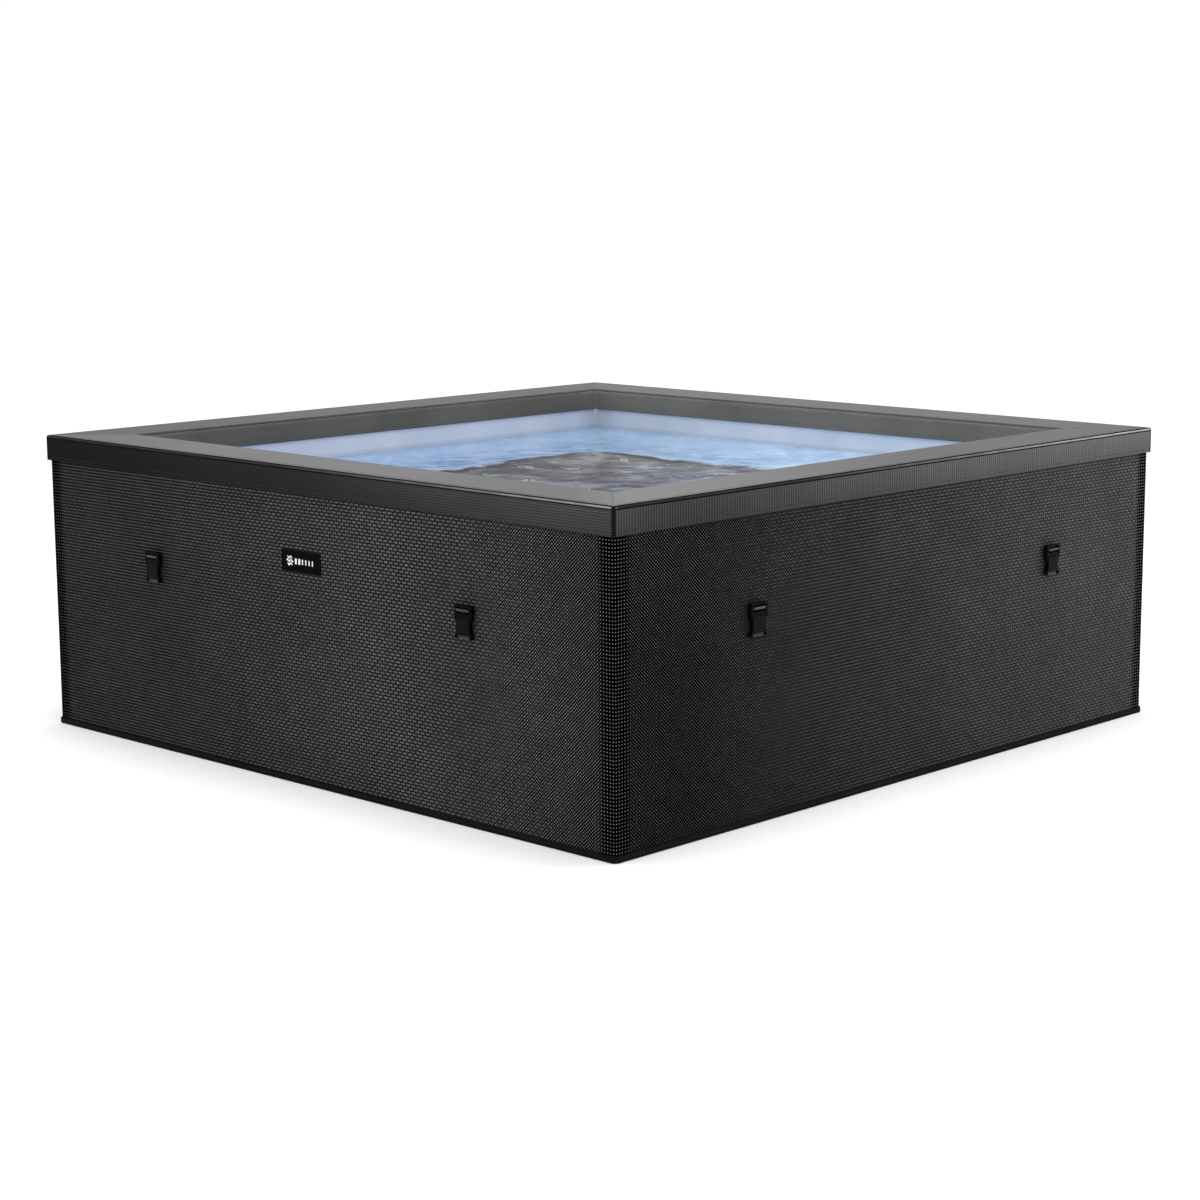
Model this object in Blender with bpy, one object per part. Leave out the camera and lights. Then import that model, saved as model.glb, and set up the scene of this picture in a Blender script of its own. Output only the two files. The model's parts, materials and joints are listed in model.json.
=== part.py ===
"""Square foam-wall hot tub: rigid foam wall panels in a woven jacket, a PVC basin, a padded rim cover,
eight side-release clips for a lid's straps, and the water and air fittings on the back wall.
Metres, +Z up, origin at the middle of the footprint. Front is -Y."""

import math

import bmesh
import bpy
from mathutils import Matrix, Vector

# ---- driving dimensions (metres) ----
HEIGHT = 0.700
RIM_HALF = 0.935          # half the outside width, over the rim band
WALL_HALF = 0.930         # half the width over the woven jacket
RIM_INNER = 0.785         # half the opening between the rim's inner skirts
RIM_BAND = 0.060          # height of the rim's outer band
RIM_SKIRT = 0.057         # height of the rim's inner skirt
RIM_THICK = 0.004
COVER = 0.003             # woven jacket
GAP = 0.0003
LINER = 0.002
LINER_OUT = RIM_INNER + RIM_THICK + GAP + LINER
PANEL_IN = LINER_OUT + GAP
PANEL_OUT = WALL_HALF - COVER - GAP
SHEET = 0.003             # jacket's bottom sheet
PAD = 0.040               # floor pad
TRIM_H = 0.014
TRIM_OUT = 0.934
SEAM_LEG = 0.012          # corner seam strip's legs
FLOOR = SHEET + 3 * GAP + PAD + LINER   # top of the basin's floor

RING_IN, RING_OUT, RING_H = 0.695, 0.745, 0.040
RING_WALL = 0.003
JET_HOLES, JET_R = 6, 0.004             # holes along each side of the ring

PORT_R, PORT_BORE = 0.030, 0.024        # outlet and return unions
PORT_Z, PORT_X = 0.250, 0.200
AIR_R, AIR_BORE, AIR_Z = 0.022, 0.017, 0.450
DRAIN_R, DRAIN_BORE, DRAIN_X, DRAIN_Z = 0.018, 0.012, -0.600, 0.090

CLIP_AT = 0.520                         # clips stand this far each side of a wall's middle
CLIP_Z = 0.427                          # clip's centre height
CLIP_W, CLIP_H = 0.050, 0.070
BAR_R, BAR_V, BAR_N = 0.0022, -0.031, 0.0054
SIDES = {"front": 0.0, "right": 90.0, "back": 180.0, "left": -90.0}


def clear_scene():
    for o in list(bpy.data.objects):
        bpy.data.objects.remove(o, do_unlink=True)


def material(name, colour, roughness, metallic=0.0):
    m = bpy.data.materials.new(name)
    m.use_nodes = True
    p = m.node_tree.nodes["Principled BSDF"]
    p.inputs["Base Color"].default_value = (*colour, 1.0)
    p.inputs["Roughness"].default_value = roughness
    p.inputs["Metallic"].default_value = metallic
    return m


def object_of(name, mesh, mat=None, at=(0, 0, 0), turn=0.0):
    o = bpy.data.objects.new(name, mesh)
    bpy.context.scene.collection.objects.link(o)
    o.location = at
    o.rotation_euler = (0, 0, math.radians(turn))
    if mat is not None:
        mesh.materials.clear()
        mesh.materials.append(mat)
    return o


def mesh_of(name, build):
    """A mesh from a function that fills a bmesh, with its faces turned outwards."""
    bm = bmesh.new()
    build(bm)
    bmesh.ops.recalc_face_normals(bm, faces=bm.faces)
    me = bpy.data.meshes.new(name)
    bm.to_mesh(me)
    bm.free()
    return me


def add_box(bm, lo, hi):
    made = bmesh.ops.create_cube(bm, size=1.0)["verts"]
    lo, hi = Vector(lo), Vector(hi)
    for v in made:
        v.co = Vector(((lo[i] + hi[i]) / 2 + v.co[i] * (hi[i] - lo[i]) for i in range(3)))


def box_mesh(name, lo, hi):
    return mesh_of(name, lambda bm: add_box(bm, lo, hi))


def prism_mesh(name, outline, lo, hi, axis="Y"):
    """An outline extruded from lo to hi. axis Y takes (x, z) points, X takes (y, z), and Z takes (x, y)."""
    def place(p, t):
        return {"Y": (p[0], t, p[1]), "X": (t, p[0], p[1]), "Z": (p[0], p[1], t)}[axis]

    def build(bm):
        a = [bm.verts.new(place(p, lo)) for p in outline]
        b = [bm.verts.new(place(p, hi)) for p in outline]
        bm.faces.new(a)
        bm.faces.new(b)
        for i in range(len(a)):
            j = (i + 1) % len(a)
            bm.faces.new((a[i], a[j], b[j], b[i]))
    return mesh_of(name, build)


def turned_mesh(name, profile, segments=32, direction="Y"):
    """A closed (radius, along) profile turned about its axis. Points with radius 0 lie on the axis."""
    def build(bm):
        rings = []
        for r, t in profile:
            if r == 0:
                rings.append([bm.verts.new((0, t, 0))])
            else:
                rings.append([bm.verts.new((r * math.cos(a), t, r * math.sin(a)))
                              for a in (2 * math.pi * k / segments for k in range(segments))])
        for i, ring in enumerate(rings):
            other = rings[(i + 1) % len(rings)]
            if len(ring) == 1 and len(other) == 1:
                continue
            for k in range(segments):
                n = (k + 1) % segments
                if len(ring) == 1:
                    bm.faces.new((ring[0], other[k], other[n]))
                elif len(other) == 1:
                    bm.faces.new((ring[k], other[0], ring[n]))
                else:
                    bm.faces.new((ring[k], other[k], other[n], ring[n]))
        if direction == "X":
            bmesh.ops.rotate(bm, verts=bm.verts, matrix=Matrix.Rotation(-math.pi / 2, 3, "Z"))
        if direction == "Z":
            bmesh.ops.rotate(bm, verts=bm.verts, matrix=Matrix.Rotation(math.pi / 2, 3, "X"))
    me = mesh_of(name, build)
    me.shade_smooth()
    me.set_sharp_from_angle(angle=math.radians(35))
    return me


def rod_profile(r, lo, hi):
    return [(0, lo), (r, lo), (r, hi), (0, hi)]


def boolean(o, mesh, operation="DIFFERENCE", at=(0, 0, 0), turn=0.0):
    c = object_of("tool_" + o.name, mesh, None, at, turn)
    c.hide_render = True
    c.display_type = "WIRE"
    m = o.modifiers.new(operation.lower(), "BOOLEAN")
    m.operation, m.solver, m.object = operation, "EXACT", c
    return c


def bevel(o, width, segments=1, angle=40):
    m = o.modifiers.new("edge", "BEVEL")
    m.width, m.segments = width, segments
    m.limit_method, m.angle_limit = "ANGLE", math.radians(angle)
    m.use_clamp_overlap = True
    return m


def ring_mesh(name, outer, inner, lo, hi):
    """A square ring: half widths outer and inner, from lo to hi."""
    def build(bm):
        rows = []
        for half, z in ((outer, lo), (outer, hi), (inner, hi), (inner, lo)):
            rows.append([bm.verts.new((sx * half, sy * half, z))
                         for sx, sy in ((1, -1), (1, 1), (-1, 1), (-1, -1))])
        for i in range(4):
            a, b = rows[i], rows[(i + 1) % 4]
            for k in range(4):
                n = (k + 1) % 4
                bm.faces.new((a[k], a[n], b[n], b[k]))
    return mesh_of(name, build)


clear_scene()

JACKET = (0.030, 0.030, 0.032)
LEATHER = (0.090, 0.090, 0.095)
BLACK = (0.012, 0.012, 0.013)
MAT = {
    "textilene": material("textilene", JACKET, 0.62),
    "seam_tape": material("seam_tape", (0.016, 0.016, 0.017), 0.70),
    "leatherette": material("leatherette", LEATHER, 0.50),
    "hem": material("hem", (0.022, 0.022, 0.024), 0.55),
    "liner_blue": material("liner_blue", (0.42, 0.55, 0.80), 0.35),
    "foam": material("foam", (0.78, 0.79, 0.80), 0.90),
    "sheet": material("sheet", (0.045, 0.047, 0.052), 0.55),
    "duct_blue": material("duct_blue", (0.38, 0.50, 0.76), 0.40),
    "black_plastic": material("black_plastic", BLACK, 0.28),
    "grey_plastic": material("grey_plastic", (0.16, 0.17, 0.18), 0.42),
    "white_plastic": material("white_plastic", (0.70, 0.71, 0.72), 0.40),
    "filter_paper": material("filter_paper", (0.80, 0.82, 0.84), 0.80),
    "webbing": material("webbing", (0.018, 0.018, 0.019), 0.85),
    "label": material("label", (0.008, 0.008, 0.009), 0.40),
}

# ---- bottom of the jacket, floor pad, foam wall panels ----
object_of("base_sheet", box_mesh("base_sheet", (-WALL_HALF, -WALL_HALF, 0), (WALL_HALF, WALL_HALF, SHEET)), MAT["sheet"])
pad_half = PANEL_IN - GAP
object_of("floor_foam_pad", box_mesh("floor_foam_pad", (-pad_half, -pad_half, SHEET + GAP),
                                     (pad_half, pad_half, SHEET + GAP + PAD)), MAT["foam"])
panel_lo, panel_hi = SHEET + GAP, HEIGHT - RIM_THICK - GAP
for side, turn in SIDES.items():
    # front and back panels run the full width, and the side panels stand between them
    half = PANEL_OUT if side in ("front", "back") else PANEL_IN - GAP
    name = "foam_panel_" + side
    panel = object_of(name, box_mesh(name, (-half, -PANEL_OUT, panel_lo), (half, -PANEL_IN, panel_hi)), MAT["foam"], turn=turn)
    if side == "back":
        for x, z, r in ((PORT_X, PORT_Z, PORT_R), (-PORT_X, PORT_Z, PORT_R), (0, AIR_Z, AIR_R), (DRAIN_X, DRAIN_Z, DRAIN_R)):
            boolean(panel, turned_mesh("way", rod_profile(r + GAP, PANEL_IN - 0.02, PANEL_OUT + 0.02)), at=(x, 0, z))

# ---- woven jacket, corner seams, hem ----
cover_half = WALL_HALF - SEAM_LEG - GAP
for side, turn in SIDES.items():
    name = "wall_cover_" + side
    cover = object_of(name, box_mesh(name, (-cover_half, -WALL_HALF, panel_lo), (cover_half, -WALL_HALF + COVER, panel_hi)),
                      MAT["textilene"], turn=turn)
    if side == "back":
        for x, z, r in ((PORT_X, PORT_Z, PORT_R), (-PORT_X, PORT_Z, PORT_R), (0, AIR_Z, AIR_R), (DRAIN_X, DRAIN_Z, DRAIN_R)):
            boolean(cover, turned_mesh("way", rod_profile(r + GAP, WALL_HALF - 0.02, WALL_HALF + 0.02)), at=(x, 0, z))
    name = "base_trim_" + side
    end = TRIM_OUT if side in ("front", "back") else WALL_HALF
    object_of(name, box_mesh(name, (-end, -TRIM_OUT, 0), (end, -WALL_HALF - GAP, TRIM_H)), MAT["hem"], turn=turn)

corner_names = {0.0: "front_right", 90.0: "back_right", 180.0: "back_left", -90.0: "front_left"}
for turn, corner in corner_names.items():
    w, s, c = WALL_HALF, SEAM_LEG, COVER
    outline = [(w, -w), (w, -w + s), (w - c, -w + s), (w - c, -w + c), (w - s, -w + c), (w - s, -w)]
    name = "corner_seam_" + corner
    object_of(name, prism_mesh(name, outline, panel_lo, panel_hi, "Z"), MAT["seam_tape"], turn=turn)

# ---- rim cover: outer band, flat top, inner skirt in one sewn piece ----
rim = object_of("rim_cover", ring_mesh("rim_cover", RIM_HALF, RIM_INNER, HEIGHT - RIM_BAND, HEIGHT), MAT["leatherette"])
boolean(rim, ring_mesh("under", WALL_HALF + GAP, RIM_INNER + RIM_THICK, HEIGHT - RIM_BAND - 0.05, HEIGHT - RIM_THICK))
boolean(rim, ring_mesh("trimmed_skirt", RIM_INNER + RIM_THICK + 0.001, RIM_INNER - 0.05, HEIGHT - RIM_BAND - 0.05, HEIGHT - RIM_SKIRT))

# ---- PVC basin ----
liner = object_of("inner_liner", box_mesh("inner_liner", (-LINER_OUT, -LINER_OUT, FLOOR - LINER),
                                          (LINER_OUT, LINER_OUT, panel_hi)), MAT["liner_blue"])
li = LINER_OUT - LINER
boolean(liner, box_mesh("basin", (-li, -li, FLOOR), (li, li, HEIGHT + 0.1)))
for x, z, r in ((PORT_X, PORT_Z, PORT_R), (-PORT_X, PORT_Z, PORT_R), (0, AIR_Z, AIR_R), (DRAIN_X, DRAIN_Z, DRAIN_R)):
    boolean(liner, turned_mesh("way", rod_profile(r + GAP, li - 0.02, LINER_OUT + 0.02)), at=(x, 0, z))

# ---- air duct on the basin's floor: an inverted channel with a row of air holes ----
ring_lo = FLOOR + GAP
ring = object_of("bubble_ring", ring_mesh("bubble_ring", RING_OUT, RING_IN, ring_lo, ring_lo + RING_H), MAT["duct_blue"])
boolean(ring, ring_mesh("way", RING_OUT - RING_WALL, RING_IN + RING_WALL, ring_lo - 0.01, ring_lo + RING_H - RING_WALL))
holes = []


def jet_tools(bm):
    mid = (RING_IN + RING_OUT) / 2
    for k in range(4):
        for i in range(JET_HOLES):
            along = (i - (JET_HOLES - 1) / 2) * 2 * RING_IN / JET_HOLES
            where = Matrix.Rotation(k * math.pi / 2, 4, "Z") @ Matrix.Translation((along, mid, ring_lo + RING_H))
            bmesh.ops.create_cone(bm, cap_ends=True, segments=8, radius1=JET_R, radius2=JET_R, depth=0.02, matrix=where)


boolean(ring, mesh_of("jets", jet_tools))
RISER_HALF, RISER_TOP, RISER_WALL = 0.045, AIR_Z + 0.045, 0.003
riser_y = li - GAP
boolean(ring, box_mesh("feed", (-RISER_HALF + RISER_WALL, RING_OUT - 0.02, ring_lo - 0.01),
                       (RISER_HALF - RISER_WALL, RING_OUT + 0.02, ring_lo + RING_H - RISER_WALL)))
riser = object_of("air_riser_duct", box_mesh("air_riser_duct", (-RISER_HALF, li - 0.028, ring_lo), (RISER_HALF, riser_y, RISER_TOP)), MAT["duct_blue"])
boolean(riser, box_mesh("foot", (-RISER_HALF, RING_OUT + GAP, ring_lo), (RISER_HALF, li - 0.020, ring_lo + RING_H)), "UNION")
boolean(riser, box_mesh("way", (-RISER_HALF + RISER_WALL, li - 0.028 + RISER_WALL, ring_lo - 0.02),
                        (RISER_HALF - RISER_WALL, riser_y + 0.02, RISER_TOP - RISER_WALL)))
boolean(riser, box_mesh("foot_way", (-RISER_HALF + RISER_WALL, RING_OUT - 0.02, ring_lo - 0.02),
                        (RISER_HALF - RISER_WALL, riser_y + 0.02, ring_lo + RING_H - RISER_WALL)))

# ---- water and air unions through the back wall, with screw-on caps ----
face = WALL_HALF + GAP


def union(name, x, z, r, bore, flange, stub, inner_end):
    profile = [(bore, inner_end), (r, inner_end), (r, face), (flange, face), (flange, face + 0.006),
               (r, face + 0.006), (r, stub), (bore, stub)]
    return object_of(name, turned_mesh(name, profile), MAT["grey_plastic"], at=(x, 0, z))


def cap(name, x, z, r, stub, skirt, mat="black_plastic"):
    inside = r + GAP
    profile = [(0, stub + GAP), (inside, stub + GAP), (inside, face + 0.0075), (inside + 0.004, face + 0.0075),
               (inside + 0.004, stub + GAP + 0.003), (inside + 0.002, stub + GAP + 0.005), (0, stub + GAP + 0.005)]
    o = object_of(name, turned_mesh(name, profile, 32), MAT[mat], at=(x, 0, z))
    boolean(o, box_mesh("grip", (-0.003, stub + GAP + 0.002, -inside * 0.75), (0.003, stub + GAP + 0.014, inside * 0.75)), "UNION", at=(x, 0, z))
    return o


STUB = WALL_HALF + 0.034
union("outlet_union", PORT_X, PORT_Z, PORT_R, PORT_BORE, 0.044, STUB, li + 0.0005)
union("return_union", -PORT_X, PORT_Z, PORT_R, PORT_BORE, 0.044, STUB, li + 0.0005)
union("air_union", 0, AIR_Z, AIR_R, AIR_BORE, 0.034, STUB, li + 0.0005)
cap("outlet_cap", PORT_X, PORT_Z, PORT_R, STUB, 0.02)
cap("return_cap", -PORT_X, PORT_Z, PORT_R, STUB, 0.02)
cap("air_cap", 0, AIR_Z, AIR_R, STUB, 0.02)

# suction side inside the basin: a threaded base and a push-on pleated cartridge
base_y = li - GAP
filter_base = object_of("filter_base", turned_mesh("filter_base", [
    (0.016, base_y), (0.044, base_y), (0.044, base_y - 0.006), (0.022, base_y - 0.006), (0.022, base_y - 0.030), (0.016, base_y - 0.030)]),
    MAT["white_plastic"], at=(PORT_X, 0, PORT_Z))


def pleated(bm, outer=0.052, inner=0.044, bore=0.0223, lo=base_y - 0.126, hi=base_y - 0.0075, pleats=24):
    def loop(y, tight):
        out = []
        for k in range(2 * pleats):
            r = tight if tight else (outer if k % 2 == 0 else inner)
            a = math.pi * k / pleats
            out.append(bm.verts.new((r * math.cos(a), y, r * math.sin(a))))
        return out
    rows = [loop(lo, 0), loop(hi, 0), loop(hi, bore), loop(lo + 0.08, bore)]
    n = 2 * pleats
    for a, b in ((rows[0], rows[1]), (rows[1], rows[2]), (rows[2], rows[3])):
        for k in range(n):
            bm.faces.new((a[k], a[(k + 1) % n], b[(k + 1) % n], b[k]))
    bm.faces.new(rows[0])
    bm.faces.new(rows[3])


cartridge = object_of("filter_cartridge", mesh_of("filter_cartridge", pleated), MAT["filter_paper"], at=(PORT_X, 0, PORT_Z))
boolean(cartridge, turned_mesh("end_cap", [(0, base_y - 0.130), (0.055, base_y - 0.130), (0.055, base_y - 0.122), (0, base_y - 0.122)]), "UNION", at=(PORT_X, 0, PORT_Z))

# return side: a slotted grille
grille = object_of("return_grille", turned_mesh("return_grille", [
    (0, base_y), (0.044, base_y), (0.044, base_y - 0.004), (0.038, base_y - 0.010), (0, base_y - 0.010)]), MAT["white_plastic"],
    at=(-PORT_X, 0, PORT_Z))


def slots(bm):
    for i in range(-3, 4):
        half = math.sqrt(0.023 ** 2 - (i * 0.006) ** 2)
        add_box(bm, (-half, base_y - 0.02, i * 0.006 - 0.0015), (half, base_y + 0.01, i * 0.006 + 0.0015))


boolean(grille, mesh_of("slots", slots), at=(-PORT_X, 0, PORT_Z))

# ---- drain: valve body through the back wall, plug inside, screw cap outside ----
object_of("drain_valve", turned_mesh("drain_valve", [
    (DRAIN_BORE, li + 0.0005), (DRAIN_R, li + 0.0005), (DRAIN_R, face), (0.030, face), (0.030, face + 0.005),
    (DRAIN_R, face + 0.005), (DRAIN_R, STUB), (DRAIN_BORE, STUB)]), MAT["grey_plastic"], at=(DRAIN_X, 0, DRAIN_Z))
cap("drain_cap", DRAIN_X, DRAIN_Z, DRAIN_R, STUB, 0.02)
object_of("drain_plug", turned_mesh("drain_plug", [
    (0, li - 0.006), (0.026, li - 0.006), (0.026, li - GAP), (DRAIN_BORE - GAP, li - GAP), (DRAIN_BORE - GAP, li + 0.020), (0, li + 0.020)]),
    MAT["white_plastic"], at=(DRAIN_X, 0, DRAIN_Z))

# ---- label plate on the front wall ----
label = object_of("label_plate", box_mesh("label_plate", (-0.065, -WALL_HALF - GAP - 0.0012, -0.0235), (0.065, -WALL_HALF - GAP, 0.0235)),
                  MAT["label"], at=(0, 0, 0.4925))

# ---- side-release clips: local x across, -y out of the wall, z up, origin on the wall's face ----
FRONT_N, BACK_N = 0.0138, 0.0024        # clip's front and back planes, out from the wall


def solid(name, outline, lo_n, hi_n, edge=0.0):
    return prism_mesh(name, outline, -hi_n, -lo_n, "Y")


def mirrored(points):
    """A right-hand outline (x > 0, from the top down) closed with its mirror image."""
    return points + [(-x, z) for x, z in reversed(points)]


receptacle_outline = mirrored([(0.0202, 0.0085), (0.0205, 0.0010), (0.0192, -0.0045), (0.0190, -0.0180),
                               (0.0225, -0.0250), (0.0250, -0.0290), (0.0250, -0.0350)])
insert_outline = mirrored([(0.0235, 0.0350), (0.0250, 0.0335), (0.0250, 0.0045), (0.0236, 0.0025), (0.0208, 0.0092)])
centre_n = (FRONT_N + BACK_N) / 2
CAV_N = (centre_n - 0.0030, centre_n + 0.0030)
PRONG_N = (centre_n - 0.0027, centre_n + 0.0027)


def clip_meshes():
    """The three pieces, each relative to the wall point, with their cuts made."""
    made = {}
    # webbing tab: sewn flat on the wall, looped round the receptacle's bar
    tab = object_of("draft_tab", box_mesh("tab", (-0.0188, -0.0019, BAR_V), (0.0188, -GAP, 0.016)))
    loop = turned_mesh("loop", [(BAR_R + GAP, -0.0188), (BAR_R + GAP + 0.0016, -0.0188), (BAR_R + GAP + 0.0016, 0.0188),
                                (BAR_R + GAP, 0.0188)], 20, "X")
    boolean(tab, loop, "UNION", at=(0, -BAR_N, BAR_V))
    boolean(tab, turned_mesh("eye", rod_profile(BAR_R + GAP, -0.03, 0.03), 20, "X"), at=(0, -BAR_N, BAR_V))
    made["tab"] = tab
    # receptacle: a flat box open at the top, side windows, and a bar between two feet
    body = object_of("draft_receptacle", solid("receptacle", receptacle_outline, BACK_N, FRONT_N))
    bevel(body, 0.0009)
    boolean(body, box_mesh("mouth", (-0.0172, -CAV_N[1], -0.0230), (0.0172, -CAV_N[0], 0.020)))
    for s in (-1, 1):
        boolean(body, box_mesh("window", (min(s * 0.0140, s * 0.03), -CAV_N[1] - 0.0012, -0.0190),
                               (max(s * 0.0140, s * 0.03), -CAV_N[0] + 0.0012, -0.0060)))
    boolean(body, box_mesh("strap_way", (-0.0192, -0.03, -0.0360), (0.0192, 0.01, BAR_V + 0.0047)))
    boolean(body, turned_mesh("bar", rod_profile(BAR_R, -0.0215, 0.0215), 12, "X"), "UNION", at=(0, -BAR_N, BAR_V))
    made["receptacle"] = body
    # insert: a head with two strap slots either side of a bar, two side prongs and a middle guide
    head = object_of("draft_insert", solid("insert", insert_outline, BACK_N, FRONT_N))
    bevel(head, 0.0009)
    boolean(head, box_mesh("slot_high", (-0.0195, -0.03, 0.0262), (0.0195, 0.01, 0.0312)))
    boolean(head, box_mesh("slot_low", (-0.0195, -0.03, 0.0172), (0.0195, 0.01, 0.0222)))
    prongs = mirrored([(0.0160, 0.0120), (0.0168, 0.0000), (0.0168, -0.0170), (0.0120, -0.0215), (0.0098, -0.0195),
                       (0.0110, -0.0100), (0.0112, 0.0000), (0.0030, 0.0000), (0.0030, -0.0190), (0.0018, -0.0205)])
    boolean(head, solid("prongs", prongs, PRONG_N[0], PRONG_N[1]), "UNION")
    made["insert"] = head
    return made


drafts = clip_meshes()
bpy.context.view_layer.update()
graph = bpy.context.evaluated_depsgraph_get()
cut = {}
for key, draft in drafts.items():
    pivot = Vector((0, -BAR_N, BAR_V)) if key != "tab" else Vector((0, 0, 0))
    me = bpy.data.meshes.new_from_object(draft.evaluated_get(graph))
    me.transform(Matrix.Translation(-pivot))
    cut[key] = (me, pivot)
for o in [o for o in bpy.data.objects if o.name.startswith(("draft_", "tool_draft_"))]:
    bpy.data.objects.remove(o, do_unlink=True)

PLACES = {
    "front_left": ("front", -1), "front_right": ("front", 1), "right_front": ("right", -1), "right_back": ("right", 1),
    "back_right": ("back", -1), "back_left": ("back", 1), "left_back": ("left", -1), "left_front": ("left", 1),
}
for place, (side, s) in PLACES.items():
    turn = SIDES[side]
    spin = Matrix.Rotation(math.radians(turn), 3, "Z")
    made = {}
    for key, mat in (("tab", "webbing"), ("receptacle", "black_plastic"), ("insert", "black_plastic")):
        me, pivot = cut[key]
        at = spin @ (Vector((s * CLIP_AT, -WALL_HALF, CLIP_Z)) + pivot)
        made[key] = object_of(f"clip_{key}_{place}", me.copy(), MAT[mat], at=at, turn=turn)
    bpy.context.view_layer.update()
    made["insert"].parent = made["receptacle"]
    made["insert"].matrix_parent_inverse = made["receptacle"].matrix_world.inverted()
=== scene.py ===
"""Square foam-wall hot tub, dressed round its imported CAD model: woven jacket, sewn rim cover, welded basin, water,
strap clips, label plate and the fittings on the back wall. Metres, +Z up, front is -Y, and the near corner is (+X, -Y)."""

import json
import math

import bmesh
import bpy
import numpy as np
from mathutils import Matrix, Vector, noise

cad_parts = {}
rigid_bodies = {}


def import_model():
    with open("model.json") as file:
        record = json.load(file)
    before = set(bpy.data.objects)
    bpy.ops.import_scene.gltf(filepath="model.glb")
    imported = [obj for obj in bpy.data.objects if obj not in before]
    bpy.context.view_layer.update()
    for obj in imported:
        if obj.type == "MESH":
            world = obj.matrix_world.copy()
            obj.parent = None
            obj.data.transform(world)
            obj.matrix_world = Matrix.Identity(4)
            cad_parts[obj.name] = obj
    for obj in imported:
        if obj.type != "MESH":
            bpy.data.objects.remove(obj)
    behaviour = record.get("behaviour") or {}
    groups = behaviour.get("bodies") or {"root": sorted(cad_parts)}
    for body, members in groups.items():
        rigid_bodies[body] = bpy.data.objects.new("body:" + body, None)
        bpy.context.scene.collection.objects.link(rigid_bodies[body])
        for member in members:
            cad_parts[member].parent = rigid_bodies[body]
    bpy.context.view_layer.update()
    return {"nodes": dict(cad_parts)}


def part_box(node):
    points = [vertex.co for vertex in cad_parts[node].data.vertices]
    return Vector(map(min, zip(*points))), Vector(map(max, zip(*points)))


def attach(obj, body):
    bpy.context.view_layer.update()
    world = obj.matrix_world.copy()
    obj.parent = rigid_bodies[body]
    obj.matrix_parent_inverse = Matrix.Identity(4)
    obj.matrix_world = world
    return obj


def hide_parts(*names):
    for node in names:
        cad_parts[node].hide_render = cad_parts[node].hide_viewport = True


for o in list(bpy.data.objects):
    bpy.data.objects.remove(o, do_unlink=True)

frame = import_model()
NODES = frame["nodes"]

# ---------------------------------------------------------------- sizes, read from the frame
rim_lo, rim_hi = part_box("rim_cover")
RIM_HALF, RIM_TOP, BAND_LO = rim_hi.x, rim_hi.z, rim_lo.z
wall_lo, wall_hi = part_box("wall_cover_front")
WALL_HALF, WALL_LO, WALL_HI = -wall_lo.y, wall_lo.z, wall_hi.z
liner_lo, liner_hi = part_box("inner_liner")
LINER_OUT, LINER_LO, LINER_TOP = liner_hi.x, liner_lo.z, liner_hi.z
trim_lo, trim_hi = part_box("base_trim_front")
TRIM_OUT, TRIM_TOP = -trim_lo.y, trim_hi.z
label_lo, label_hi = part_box("label_plate")
RIM_INNER = 0.785
SKIRT_LO = RIM_TOP - 0.057
LINER_IN = LINER_OUT - 0.002
WATER = 0.5915            # the water line on the basin's walls in the photo
CORNER_R = 0.009          # the jacket's radius round the wall corners
TURNS = {"front": 0.0, "right": 90.0, "back": 180.0, "left": -90.0}
CLIPS = {}
for node in NODES:
    if node.startswith("clip_receptacle_"):
        place = node[len("clip_receptacle_"):]
        lo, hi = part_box(node)
        side = place.split("_")[0]
        CLIPS[place] = (side, (lo + hi) / 2)


def turned(side):
    return Matrix.Rotation(math.radians(TURNS[side]), 4, "Z")


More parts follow.
